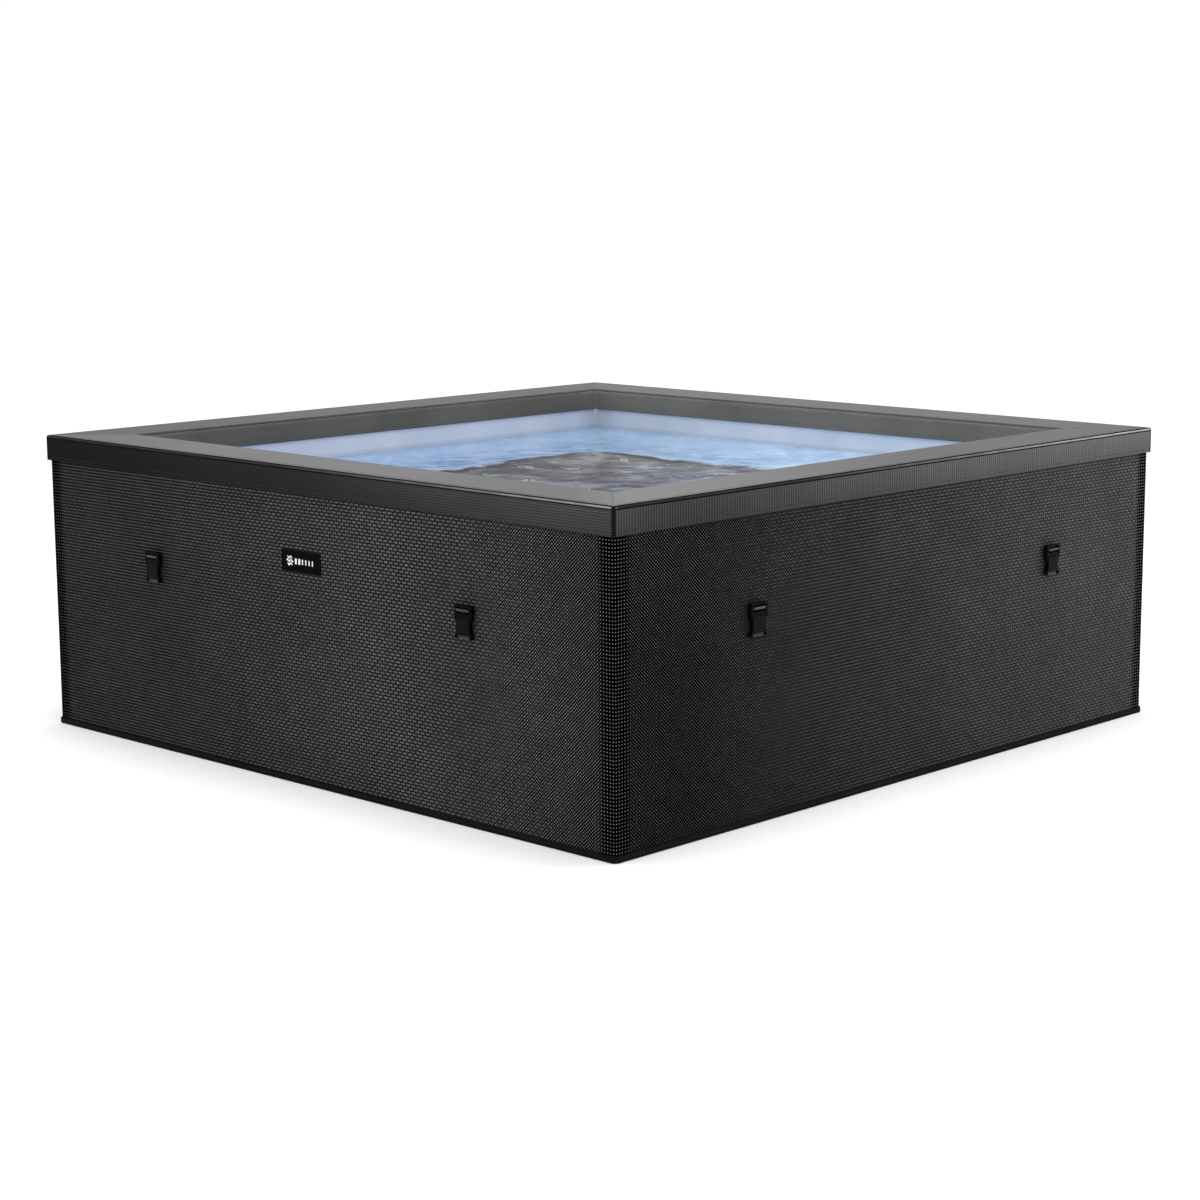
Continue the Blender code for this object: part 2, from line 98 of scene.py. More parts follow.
# ---------------------------------------------------------------- node materials
class Mat:
    """A small writer for node trees. Values may be numbers, colours or sockets."""

    def __init__(self, name):
        self.m = bpy.data.materials.new(name)
        self.m.use_nodes = True
        self.t = self.m.node_tree
        self.t.nodes.clear()
        self.out = self.t.nodes.new("ShaderNodeOutputMaterial")
        self.p = self.t.nodes.new("ShaderNodeBsdfPrincipled")
        self.t.links.new(self.p.outputs[0], self.out.inputs[0])
        self.coord = None

    def put(self, socket, value):
        if isinstance(value, bpy.types.NodeSocket):
            self.t.links.new(value, socket)
        elif hasattr(value, "__len__") and socket.type == "RGBA" and len(value) == 3:
            socket.default_value = (*value, 1.0)
        else:
            socket.default_value = value

    def add(self, kind, **inputs):
        n = self.t.nodes.new(kind)
        for k, v in inputs.items():
            if k.startswith("_"):
                setattr(n, k[1:], v)
        for k, v in inputs.items():
            if not k.startswith("_"):
                self.put(n.inputs[k.replace("__", " ")], v)
        return n

    def math(self, op, a, b=0.0, c=0.0, clamp=False):
        n = self.t.nodes.new("ShaderNodeMath")
        n.operation, n.use_clamp = op, clamp
        for i, v in enumerate((a, b, c)):
            self.put(n.inputs[i], v)
        return n.outputs[0]

    def xyz(self):
        """(x, y, z, vector) in the piece's own coordinates, which are the frame's at rest."""
        if self.coord is None:
            c = self.add("ShaderNodeTexCoord")
            s = self.add("ShaderNodeSeparateXYZ", Vector=c.outputs["Object"])
            self.coord = (s.outputs[0], s.outputs[1], s.outputs[2], c.outputs["Object"])
        return self.coord

    def normal_xyz(self):
        g = self.add("ShaderNodeTexCoord")
        s = self.add("ShaderNodeSeparateXYZ", Vector=g.outputs["Normal"])
        return s.outputs[0], s.outputs[1], s.outputs[2]

    def vec(self, x, y, z):
        return self.add("ShaderNodeCombineXYZ", X=x, Y=y, Z=z).outputs[0]

    def noise(self, scale, detail=3.0, rough=0.5, vector=None, distortion=0.0):
        v = vector if vector is not None else self.xyz()[3]
        return self.add("ShaderNodeTexNoise", Vector=v, Scale=scale, Detail=detail, Roughness=rough, Distortion=distortion).outputs[0]

    def voronoi(self, scale, feature="F1", vector=None, rand=1.0):
        v = vector if vector is not None else self.xyz()[3]
        n = self.add("ShaderNodeTexVoronoi", _feature=feature, Vector=v, Scale=scale, Randomness=rand)
        return n.outputs["Distance"]

    def span(self, value, a, b, lo=0.0, hi=1.0, smooth=True):
        n = self.add("ShaderNodeMapRange", _interpolation_type="SMOOTHSTEP" if smooth else "LINEAR")
        for i, v in enumerate((value, a, b, lo, hi)):
            self.put(n.inputs[i], v)
        return n.outputs[0]

    def mix(self, fac, a, b, mode="MIX"):
        n = self.add("ShaderNodeMix", _data_type="RGBA", _blend_type=mode)
        self.put(n.inputs[0], fac)
        self.put(n.inputs[6], a)
        self.put(n.inputs[7], b)
        return n.outputs[2]

    def ramp(self, fac, stops, smooth=False):
        n = self.t.nodes.new("ShaderNodeValToRGB")
        n.color_ramp.interpolation = "EASE" if smooth else "LINEAR"
        e = n.color_ramp.elements
        while len(e) < len(stops):
            e.new(0.5)
        for i, (at, colour) in enumerate(stops):
            e[i].position = at
            e[i].color = (colour, colour, colour, 1) if not hasattr(colour, "__len__") else (*colour, 1)
        self.put(n.inputs[0], fac)
        return n.outputs[0]

    def grey(self, v):
        return self.vec(v, v, v)

    def bump(self, height, distance, strength=1.0, onto=None):
        n = self.add("ShaderNodeBump", Height=height, Distance=distance, Strength=strength)
        if onto is not None:
            self.put(n.inputs["Normal"], onto)
        return n.outputs[0]

    def set(self, **inputs):
        for k, v in inputs.items():
            self.put(self.p.inputs[k.replace("__", " ")], v)
        return self.m


# how the fabric's tone runs along the walls: s = x + y goes -1.86 .. 0 on the front and 0 .. 1.86 on the right wall
def along(m):
    x, y, z, _ = m.xyz()
    s = m.math("ADD", x, y)
    return s, m.math("MULTIPLY_ADD", s, 1 / 3.8, 0.5)


def grid_dots(m, u, v, pu, pv, a, b, soft=0.45, shift=(0.0, 0.0)):
    """Oval dots of half sizes a and b, centred in cells of pu by pv."""
    cu = m.math("FRACT", m.math("MULTIPLY_ADD", u, 1 / pu, shift[0]))
    cv = m.math("FRACT", m.math("MULTIPLY_ADD", v, 1 / pv, shift[1]))
    du = m.math("DIVIDE", m.math("MULTIPLY", m.math("SUBTRACT", cu, 0.5), pu), a)
    dv = m.math("DIVIDE", m.math("MULTIPLY", m.math("SUBTRACT", cv, 0.5), pv), b)
    d = m.math("SQRT", m.math("ADD", m.math("MULTIPLY", du, du), m.math("MULTIPLY", dv, dv)))
    return m.span(d, 1 + soft, 1 - soft), d


def textilene():
    m = Mat("woven_textilene")
    x, y, z, vec = m.xyz()
    s, t = along(m)
    jitter = m.math("MULTIPLY", m.math("SUBTRACT", m.noise(26.0, 2.0), 0.5), 0.0016)
    u, v = m.math("ADD", s, jitter), m.math("ADD", z, m.math("MULTIPLY", jitter, -0.8))
    q = m.math("ADD", m.math("ABSOLUTE", x), m.math("ABSOLUTE", y))
    # round the upright corners the weave is painted as a highlight: bright dots on a near-black ground
    corner = m.span(q, 2 * WALL_HALF - 0.056, 2 * WALL_HALF - 0.026)
    size = m.ramp(t, DOT_SIZE)
    # raised crossings of the first set, and of the second set half a cell along and up
    dots, d = grid_dots(m, u, v, PU, PV, m.math("MULTIPLY", size, 0.0036), m.math("MULTIPLY", size, 0.0037), 0.36)
    second, _ = grid_dots(m, u, v, PU, PV, 0.00145, 0.00115, 0.38, (0.5, 0.5))
    second = m.math("MULTIPLY", second, m.math("MULTIPLY", m.ramp(t, SECOND), m.math("SUBTRACT", 1.0, corner)))
    # the weft shows as bright rows, the warp as weaker columns
    cv = m.math("ABSOLUTE", m.math("SUBTRACT", m.math("FRACT", m.math("MULTIPLY", v, 1 / PV)), 0.5))
    cu = m.math("ABSOLUTE", m.math("SUBTRACT", m.math("FRACT", m.math("MULTIPLY", u, 1 / PU)), 0.5))
    rows = m.math("MULTIPLY", m.span(cv, 0.30, 0.12), m.math("MULTIPLY", m.ramp(t, ROWS), m.math("SUBTRACT", 1.0, corner)))
    cols = m.math("MULTIPLY", m.span(cu, 0.30, 0.10), m.math("MULTIPLY", m.ramp(t, COLS), m.math("SUBTRACT", 1.0, corner)))
    # where the threads lie in pairs, two crossings read as one oval, in a brick order
    col = m.math("FLOOR", m.math("MULTIPLY", u, 1 / PU))
    row = m.math("FLOOR", m.math("MULTIPLY", v, 1 / PV))
    slide = m.math("FRACT", m.math("MULTIPLY", row, 0.5))
    pu2 = m.math("FRACT", m.math("ADD", m.math("MULTIPLY", u, 0.5 / PU), slide))
    du = m.math("MULTIPLY", m.math("SUBTRACT", pu2, 0.5), 2 * PU / 0.0059)
    dv = m.math("MULTIPLY", m.math("SUBTRACT", m.math("FRACT", m.math("MULTIPLY", v, 1 / PV)), 0.5), PV / 0.0025)
    du2, dv2 = m.math("MULTIPLY", du, du), m.math("MULTIPLY", dv, dv)
    oval = m.span(m.math("ADD", m.math("MULTIPLY", du2, du2), dv2), 1.5, 0.35)
    pair = m.math("MULTIPLY", m.ramp(t, BRICK), m.math("MULTIPLY", m.math("SUBTRACT", 1.0, corner), m.span(m.noise(24.0, 3.0, 0.6), 0.36, 0.60, 0.62, 1.0)))
    oval = m.math("MULTIPLY", oval, m.math("MULTIPLY_ADD", dots, 0.30, 0.70))
    dots = m.math("ADD", m.math("MULTIPLY", dots, m.math("SUBTRACT", 1.0, pair)), m.math("MULTIPLY", oval, pair))
    second = m.math("MULTIPLY", second, m.math("SUBTRACT", 1.0, pair))
    ground = m.math("MULTIPLY", m.ramp(t, GROUND_AND_PAINTED_LIGHT), m.span(corner, 0.0, 1.0, 1.0, 0.05))
    thread = m.math("MULTIPLY", m.ramp(t, THREAD_AND_PAINTED_LIGHT), m.span(corner, 0.0, 1.0, 1.0, 1.0))
    per_cell = m.add("ShaderNodeTexWhiteNoise", _noise_dimensions="2D", Vector=m.vec(col, row, 0.0)).outputs[0]
    thread = m.math("MULTIPLY", thread, m.span(per_cell, 0.0, 1.0, 0.78, 1.22, False))
    patchy = m.span(m.noise(3.2, 3.0), 0.35, 0.65, 0.92, 1.08)
    base = m.math("ADD", ground, m.math("MULTIPLY", m.math("ADD", m.math("MULTIPLY", rows, 0.30), m.math("MULTIPLY", cols, 0.16)), thread))
    base = m.math("ADD", base, m.math("MULTIPLY", m.math("MULTIPLY", second, thread), 0.85))
    tone = m.math("ADD", m.math("MULTIPLY", base, m.math("SUBTRACT", 1.0, dots)), m.math("MULTIPLY", dots, thread))
    tone = m.math("MULTIPLY", tone, patchy)
    # a little darker towards the ground, most on the right of the near corner
    shade = m.math("MULTIPLY_ADD", m.span(t, 0.49, 0.52), -0.20, 0.94)
    shade = m.math("ADD", shade, m.math("MULTIPLY", m.span(t, 0.62, 0.92), 0.12))
    tone = m.math("MULTIPLY", tone, m.math("ADD", m.math("MULTIPLY", shade, m.span(z, 0.62, 0.08)), m.span(z, 0.08, 0.62)))
    height = m.math("ADD", dots, m.math("ADD", m.math("MULTIPLY", second, 0.5), m.math("MULTIPLY", rows, 0.35)))
    m.set(Base__Color=m.grey(tone), Roughness=m.span(dots, 0.0, 1.0, 0.66, 0.44, False), Normal=m.bump(height, 0.0006, 0.45))
    m.set(Specular__IOR__Level=m.span(height, 0.0, 1.0, 0.0, 0.035, False))
    return m.m


PU, PV = 0.0081, 0.0074
# how the weave reads along the walls: t is 0 at the front's left end, 0.5 at the near corner and 1 at the right wall's
# far end. The tone ramps among these hold the cloth's own tone with painted light and shade as it falls along the walls
# and the rim
GROUND_AND_PAINTED_LIGHT = [(0.0, 0.006), (0.08, 0.006), (0.27, 0.006), (0.42, 0.002), (0.495, 0.002), (0.505, 0.0002), (0.56, 0.0002), (0.74, 0.008), (0.92, 0.020), (1.0, 0.022)]
THREAD_AND_PAINTED_LIGHT = [(0.0, 0.062), (0.08, 0.066), (0.27, 0.108), (0.42, 0.188), (0.485, 0.192), (0.492, 0.215), (0.504, 0.215), (0.512, 0.140), (0.56, 0.138), (0.74, 0.099), (0.92, 0.110), (1.0, 0.115)]
DOT_SIZE = [(0.0, 0.45), (0.27, 0.45), (0.43, 0.37), (0.50, 0.33), (0.56, 0.285), (0.74, 0.40), (0.92, 0.46), (1.0, 0.46)]
SECOND = [(0.0, 0.3), (0.27, 0.70), (0.44, 0.88), (0.495, 0.88), (0.505, 0.65), (0.60, 0.75), (0.74, 0.60), (1.0, 0.4)]
ROWS = [(0.0, 0.8), (0.08, 0.8), (0.20, 0.4), (0.40, 0.06), (0.50, 0.0), (0.56, 0.0), (0.74, 0.38), (0.86, 0.35), (1.0, 0.1)]
COLS = [(0.0, 0.1), (0.27, 0.1), (0.50, 0.0), (0.74, 0.1), (0.88, 0.5), (1.0, 0.6)]
BRICK = [(0.0, 0.25), (0.12, 0.45), (0.22, 0.80), (0.34, 0.75), (0.42, 0.25), (0.48, 0.0), (0.60, 0.05), (0.74, 0.45), (0.86, 0.65), (1.0, 0.70)]
BAND = [(0.0, 0.004), (0.08, 0.006), (0.27, 0.017), (0.45, 0.046), (0.50, 0.044), (0.55, 0.034), (0.74, 0.063), (0.92, 0.094), (1.0, 0.096)]
LINES = [(0.0, 0.06), (0.25, 0.15), (0.36, 0.32), (0.497, 0.40), (0.503, 0.55), (0.60, 0.60), (0.80, 0.60), (1.0, 0.48)]
PIPING_AND_PAINTED_HIGHLIGHT = [(0.0, 0.010), (0.24, 0.020), (0.36, 0.09), (0.46, 0.20), (0.496, 0.22), (0.504, 0.012), (0.64, 0.014), (0.78, 0.10), (0.93, 0.28), (1.0, 0.32)]
TOP = [(0.0, 0.078), (0.12, 0.084), (0.27, 0.092), (0.47, 0.074), (0.51, 0.112), (0.60, 0.096), (0.76, 0.060), (0.90, 0.070), (1.0, 0.072)]


def rim_band():
    """The sewn band of the rim: ribbed coated cloth, its ribs along the front and mostly upright on the sides."""
    m = Mat("rim_band_ribbed_cloth")
    x, y, z, vec = m.xyz()
    s, t = along(m)
    nx, ny, nz = m.normal_xyz()
    side = m.math("ABSOLUTE", nx)
    wob = m.math("MULTIPLY", m.math("SUBTRACT", m.noise(7.0, 2.0), 0.5), 0.0016)
    v = m.math("ADD", z, wob)
    rows = m.math("MULTIPLY_ADD", m.math("SINE", m.math("MULTIPLY", v, 2 * math.pi / 0.0057)), 0.5, 0.5)
    cols = m.math("MULTIPLY_ADD", m.math("SINE", m.math("MULTIPLY", m.math("ADD", s, wob), 2 * math.pi / 0.0076)), 0.5, 0.5)
    across = m.math("MULTIPLY_ADD", m.math("SINE", m.math("MULTIPLY", v, 2 * math.pi / 0.0074)), 0.5, 0.5)
    row_share = m.span(side, 0.3, 0.7, 1.0, 0.0)
    col_share = m.span(side, 0.3, 0.7, 0.0, 0.86)
    cross_share = m.span(side, 0.3, 0.7, 0.0, 0.14)
    lines = m.math("ADD", m.math("ADD", m.math("MULTIPLY", rows, row_share), m.math("MULTIPLY", cols, col_share)), m.math("MULTIPLY", across, cross_share))
    streak = m.noise(1.0, 4.0, 0.6, m.vec(m.math("MULTIPLY", s, 9.0), 0.0, m.math("MULTIPLY", z, 420.0)))
    upright = m.noise(1.0, 3.0, 0.6, m.vec(m.math("MULTIPLY", s, 70.0), 0.0, m.math("MULTIPLY", z, 9.0)))
    loose = m.math("ADD", m.math("MULTIPLY", streak, m.span(side, 0.3, 0.7, 1.0, 0.3)), m.math("MULTIPLY", upright, m.span(side, 0.3, 0.7, 0.0, 0.7)))
    share = m.math("MULTIPLY", m.ramp(t, LINES), m.span(loose, 0.32, 0.62, 0.55, 1.15))
    swing = m.math("MULTIPLY", m.math("SUBTRACT", lines, 0.5), m.math("MULTIPLY", share, 1.75))
    # painted light: the band's tone runs from near black at the front's left end to lighter by the near corner and the
    # right wall's far end; the tone is also darker towards the band's foot
    tone = m.math("MULTIPLY", m.ramp(t, BAND), m.math("ADD", 1.0, swing))
    tone = m.math("MULTIPLY", tone, m.span(m.noise(5.0, 4.0), 0.3, 0.7, 0.93, 1.07))
    tone = m.math("MULTIPLY", tone, m.span(z, BAND_LO + 0.002, RIM_TOP - 0.010, 0.84, 1.12, False))
    fine = m.noise(900.0, 2.0)
    bump = m.bump(m.math("MULTIPLY", lines, share), 0.0006, 0.35)
    bump = m.bump(fine, 0.0003, 0.25, bump)
    m.set(Base__Color=m.grey(tone), Roughness=m.span(lines, 0.0, 1.0, 0.56, 0.44, False), Normal=bump)
    m.set(Specular__IOR__Level=0.03)
    return m.m


def rim_piping():
    """The rounded cord sewn along the rim's outer edge, with a painted highlight along it, brightest by the near corner
    on the front and towards the right wall's far end; it is glossier and paler in worn patches.
    """
    m = Mat("rim_piping")
    s, t = along(m)
    x, y, z, vec = m.xyz()
    twist = m.math("MULTIPLY_ADD", m.math("SINE", m.math("MULTIPLY", m.math("ADD", s, m.math("MULTIPLY", z, 1.5)), 2 * math.pi / 0.0021)), 0.5, 0.5)
    worn = m.span(m.noise(16.0, 3.0), 0.35, 0.65, 0.82, 1.14)
    # painted highlight: the tone ramp along t paints the light the cord catches
    tone = m.math("MULTIPLY", m.math("MULTIPLY", m.ramp(t, PIPING_AND_PAINTED_HIGHLIGHT), worn), m.span(twist, 0.0, 1.0, 0.9, 1.08, False))
    m.set(Base__Color=m.grey(tone), Roughness=m.span(worn, 0.8, 1.15, 0.5, 0.36), Normal=m.bump(twist, 0.0002, 0.2))
    m.set(Specular__IOR__Level=0.06)
    return m.m


def rim_top():
    """The rim's flat top: coated sheet brushed along each side of the square, joined at the corners."""
    m = Mat("rim_top_leatherette")
    x, y, z, vec = m.xyz()
    s, t = along(m)
    ax, ay = m.math("ABSOLUTE", x), m.math("ABSOLUTE", y)
    upright = m.math("GREATER_THAN", ax, ay)
    flat_ = m.math("SUBTRACT", 1.0, upright)
    run = m.math("ADD", m.math("MULTIPLY", upright, y), m.math("MULTIPLY", flat_, x))
    over = m.math("ADD", m.math("MULTIPLY", upright, ax), m.math("MULTIPLY", flat_, ay))
    brushed = m.noise(1.0, 4.0, 0.62, m.vec(m.math("MULTIPLY", run, 7.0), m.math("MULTIPLY", over, 330.0), m.math("MULTIPLY", upright, 4.0)))
    soft = m.noise(3.0, 4.0, 0.55)
    pebble = m.voronoi(620.0, "SMOOTH_F1")
    # the front and right sides lie in the light; the left side and the back are a little darker
    near = m.ramp(t, TOP)
    left = m.math("MULTIPLY", upright, m.math("LESS_THAN", x, 0.0))
    back = m.math("MULTIPLY", flat_, m.math("GREATER_THAN", y, 0.0))
    tone = m.math("MULTIPLY", near, m.math("SUBTRACT", 1.0, m.math("ADD", left, back)))
    tone = m.math("ADD", tone, m.math("MULTIPLY", left, m.span(y, -0.9, 0.3, 0.050, 0.068)))
    tone = m.math("ADD", tone, m.math("MULTIPLY", back, m.span(x, -0.9, 0.9, 0.082, 0.074)))
    tone = m.math("MULTIPLY", tone, m.span(brushed, 0.30, 0.70, 0.88, 1.12))
    tone = m.math("MULTIPLY", tone, m.span(soft, 0.32, 0.68, 0.95, 1.05))
    tone = m.math("MULTIPLY", tone, m.span(pebble, 0.1, 0.6, 1.05, 0.93))
    grain = m.bump(brushed, 0.0004, 0.30)
    grain = m.bump(pebble, 0.00035, 0.30, grain)
    grain = m.bump(m.noise(14.0, 3.0), 0.004, 0.10, grain)
    m.set(Base__Color=m.grey(tone), Roughness=m.span(brushed, 0.3, 0.7, 0.48, 0.62), Normal=grain)
    m.set(Specular__IOR__Level=0.15)
    return m.m


def rim_skirt():
    """The cover's inner side, hanging down over the basin: the same sheet, in the shade, painted lighter along the back
    wall, where it faces the light.
    """
    m = Mat("rim_skirt_leatherette")
    x, y, z, vec = m.xyz()
    pebble = m.voronoi(620.0, "SMOOTH_F1")
    soft = m.noise(3.0, 4.0, 0.55)
    run = m.noise(1.0, 3.0, 0.6, m.vec(m.math("MULTIPLY", m.math("ADD", x, y), 12.0), 0.0, m.math("MULTIPLY", z, 260.0)))
    # painted light: the skirt along the back wall is painted lighter, where it faces the light
    back = m.span(y, 0.70, 0.77)
    tone = m.math("MULTIPLY_ADD", back, 0.034, 0.086)
    tone = m.math("MULTIPLY", tone, m.span(soft, 0.32, 0.68, 0.86, 1.16))
    tone = m.math("MULTIPLY", tone, m.span(run, 0.3, 0.7, 0.93, 1.07))
    tone = m.math("MULTIPLY", tone, m.span(pebble, 0.1, 0.6, 1.05, 0.93))
    grain = m.bump(pebble, 0.00035, 0.35)
    grain = m.bump(m.noise(14.0, 3.0), 0.004, 0.12, grain)
    m.set(Base__Color=m.vec(m.math("MULTIPLY", tone, 1.05), tone, m.math("MULTIPLY", tone, 0.88)), Roughness=m.span(soft, 0.3, 0.7, 0.48, 0.60), Normal=grain)
    m.set(Specular__IOR__Level=0.12)
    return m.m


def leatherette(name, low, high, rough=(0.42, 0.55), scale=1.0, tint=(1.0, 1.0, 1.0), spec=0.15):
    """Coated sheet with a fine pebble grain, a few soft creases and a slightly uneven tone."""
    m = Mat(name)
    x, y, z, vec = m.xyz()
    pebble = m.voronoi(620.0 * scale, "SMOOTH_F1")
    fine = m.noise(1500.0 * scale, 2.0)
    soft = m.noise(3.0, 4.0, 0.55)
    streak = m.noise(1.0, 3.0, 0.6, m.vec(m.math("MULTIPLY", x, 34.0), m.math("MULTIPLY", y, 34.0), m.math("MULTIPLY", z, 200.0)))
    f = m.math("ADD", m.math("MULTIPLY", soft, 0.65), m.math("MULTIPLY", streak, 0.35))
    tone = m.span(f, 0.32, 0.68, low, high)
    tone = m.math("MULTIPLY", tone, m.span(pebble, 0.1, 0.6, 1.07, 0.90))
    grain = m.bump(pebble, 0.00035, 0.35)
    grain = m.bump(fine, 0.00015, 0.25, grain)
    grain = m.bump(m.noise(14.0, 3.0), 0.004, 0.10, grain)
    m.set(Base__Color=m.vec(*[m.math("MULTIPLY", tone, c) for c in tint]), Roughness=m.span(f, 0.3, 0.7, rough[0], rough[1]), Normal=grain)
    m.set(Specular__IOR__Level=spec)
    return m.m


def liner_pvc(name="basin_pvc", dim=1.0):
    m = Mat(name)
    x, y, z, vec = m.xyz()
    soft = m.noise(4.0, 4.0, 0.6)
    cell = m.voronoi(9.0, "SMOOTH_F1")
    f = m.math("ADD", m.math("MULTIPLY", soft, 0.7), m.math("MULTIPLY", cell, 0.3))
    colour = m.ramp(f, [(0.30, (0.40, 0.45, 0.54)), (0.52, (0.455, 0.51, 0.60)), (0.75, (0.53, 0.58, 0.67))])
    colour = m.mix(m.span(m.math("ADD", x, y), -0.2, 0.9), colour, m.mix(1.0, colour, (1.15, 1.15, 1.12), "MULTIPLY"))
    # dim below 1 darkens the whole sheet: painted shade, used for the welds in the basin's corners
    wet_line_and_painted_shade = m.math("MULTIPLY", m.span(z, WATER + 0.004, WATER + 0.012, 0.86, 1.0), dim)    # a faint wet line where the water laps
    if dim == 1.0:
        inner = m.math("MINIMUM", m.math("ABSOLUTE", x), m.math("ABSOLUTE", y))
        wet_line_and_painted_shade = m.math("MULTIPLY", wet_line_and_painted_shade, m.span(inner, LINER_IN - 0.09, LINER_IN - 0.012, 1.0, 0.86))    # shade in the corners
    colour = m.mix(1.0, colour, m.grey(wet_line_and_painted_shade), "MULTIPLY")
    grain = m.bump(m.noise(700.0, 2.0), 0.0002, 0.2)
    grain = m.bump(m.noise(18.0, 3.0), 0.006, 0.14, grain)
    m.set(Base__Color=colour, Roughness=m.span(soft, 0.3, 0.7, 0.30, 0.42), Normal=grain)
    m.set(Coat__Weight=0.15, Coat__Roughness=0.25)
    return m.m


PATCH = (-0.372, 0.352)     # the churned water lies where x is above the first and y below the second


def water_mat():
    m = Mat("water")
    x, y, z, vec = m.xyz()
    flat = m.vec(x, y, 0.0)
    s_ = m.math("ADD", x, y)
    warp = m.math("MULTIPLY", m.math("SUBTRACT", m.noise(3.0, 2.0, 0.5, flat), 0.5), 0.15)
    warp = m.math("ADD", warp, m.math("MULTIPLY", m.math("SUBTRACT", m.noise(12.0, 3.0, 0.6, flat), 0.5), 0.070))
    dx = m.math("ADD", m.math("SUBTRACT", x, PATCH[0]), warp)
    dy = m.math("ADD", m.math("SUBTRACT", PATCH[1], y), m.math("MULTIPLY", warp, 0.9))
    edge = m.math("SMOOTH_MIN", dx, dy, 0.17)
    patch = m.span(edge, -0.010, 0.026)
    # rim: the band along the churned water's edge that is painted dark below as shadow
    rim = m.math("MULTIPLY", m.span(edge, -0.012, 0.012), m.span(edge, 0.085, 0.020))
    foam_zone = m.math("MULTIPLY", m.span(edge, -0.24, -0.07), m.span(edge, 0.01, -0.045))
    # calm water: light blue over the liner, with soft wave bands
    wave = m.noise(7.0, 4.0, 0.55, flat, 0.6)
    band = m.noise(22.0, 3.0, 0.5, m.vec(m.math("ADD", m.math("MULTIPLY", x, 0.75), m.math("MULTIPLY", y, 0.65)), m.math("MULTIPLY", m.math("SUBTRACT", y, x), 0.22), 0.0), 1.2)
    f = m.math("ADD", m.math("MULTIPLY", wave, 0.6), m.math("MULTIPLY", band, 0.4))
    calm = m.ramp(f, [(0.30, (0.080, 0.165, 0.36)), (0.46, (0.120, 0.220, 0.42)), (0.58, (0.165, 0.275, 0.47)), (0.76, (0.30, 0.40, 0.56))])
    # painted light: the calm water is painted lighter and paler towards the back right, and greyer towards the back
    # left
    calm = m.mix(m.span(s_, -0.9, 1.2), m.mix(1.0, calm, (0.86, 0.88, 0.90), "MULTIPLY"), m.mix(1.0, calm, (1.95, 1.72, 1.36), "MULTIPLY"))
    far = m.span(m.math("SUBTRACT", y, x), -0.2, 1.4)
    calm = m.mix(m.math("MULTIPLY", far, 0.30), calm, (0.20, 0.27, 0.36))
    # white streaks on the wave crests just outside the churned water, long in the direction of the crests
    cross_ = m.math("SUBTRACT", y, x)
    streak = m.noise(1.0, 3.0, 0.55, m.vec(m.math("MULTIPLY", s_, 5.0), m.math("MULTIPLY", cross_, 26.0), 3.0), 0.6)
    white = m.math("MULTIPLY", m.span(streak, 0.50, 0.68), m.math("MULTIPLY_ADD", foam_zone, 0.52, 0.06))
    calm = m.mix(white, calm, (0.60, 0.64, 0.70))
    # churned water: smooth slate, bluer towards the near corner and brown-grey to the far left, with rings left by bubbles
    tw = m.add("ShaderNodeTexNoise", Vector=flat, Scale=6.0, Detail=2.0)
    moved = m.add("ShaderNodeVectorMath", _operation="MULTIPLY_ADD")
    m.put(moved.inputs[0], tw.outputs["Color"])
    moved.inputs[1].default_value = (0.07, 0.07, 0.0)
    m.put(moved.inputs[2], flat)
    swirl = m.noise(5.5, 4.0, 0.55, flat, 1.6)
    dark = m.ramp(swirl, [(0.40, (0.028, 0.030, 0.044)), (0.50, (0.060, 0.064, 0.086)), (0.60, (0.122, 0.129, 0.162))])
    crest = m.noise(1.0, 4.0, 0.6, m.vec(m.math("MULTIPLY", s_, 6.0), m.math("MULTIPLY", cross_, 34.0), 8.0), 0.5)
    dark = m.mix(m.span(crest, 0.52, 0.70, 0.0, 0.75), dark, (0.158, 0.167, 0.208))
    dark = m.mix(m.span(crest, 0.47, 0.32, 0.0, 0.75), dark, (0.026, 0.028, 0.044))
    warm = m.span(m.math("ADD", x, m.math("MULTIPLY", y, -0.55)), 0.22, -0.36)
    dark = m.mix(m.math("MULTIPLY", warm, 0.80), dark, m.mix(0.45, dark, (0.092, 0.083, 0.058)))
    right = m.span(m.math("ADD", y, m.math("MULTIPLY", x, 0.5)), -0.05, 0.42)
    dark = m.mix(m.math("MULTIPLY", right, 0.55), dark, m.mix(1.0, dark, (3.6, 3.6, 3.5), "MULTIPLY"))
    pale = None
    for scale, radius, shift in ((6.5, 0.24, 5.0), (11.0, 0.26, 11.0), (17.0, 0.24, 17.0)):
        near_ = m.voronoi(scale, "F1", moved.outputs[0])
        width = 0.0048 * scale
        loop = m.span(m.math("ABSOLUTE", m.math("SUBTRACT", near_, radius)), width, width * 0.3)
        loop = m.math("MULTIPLY", loop, m.span(m.noise(4.5, 3.0, 0.6, m.vec(x, y, shift)), 0.43, 0.60))
        loop = m.math("MULTIPLY", loop, m.span(m.noise(15.0, 2.0, 0.5, m.vec(x, y, shift + 3.0)), 0.40, 0.58, 0.20, 1.0))
        pale = loop if pale is None else m.math("MAXIMUM", pale, loop)
    dark = m.mix(m.math("MULTIPLY", pale, 0.80), dark, (0.29, 0.30, 0.31))
    # painted glints: small bright flecks painted on the churned water
    spark = m.math("MULTIPLY", m.span(m.noise(1.0, 2.0, 0.5, m.vec(m.math("MULTIPLY", s_, 18.0), m.math("MULTIPLY", cross_, 60.0), 1.0)), 0.66, 0.76), 0.70)
    dark = m.mix(spark, dark, (0.40, 0.42, 0.47))
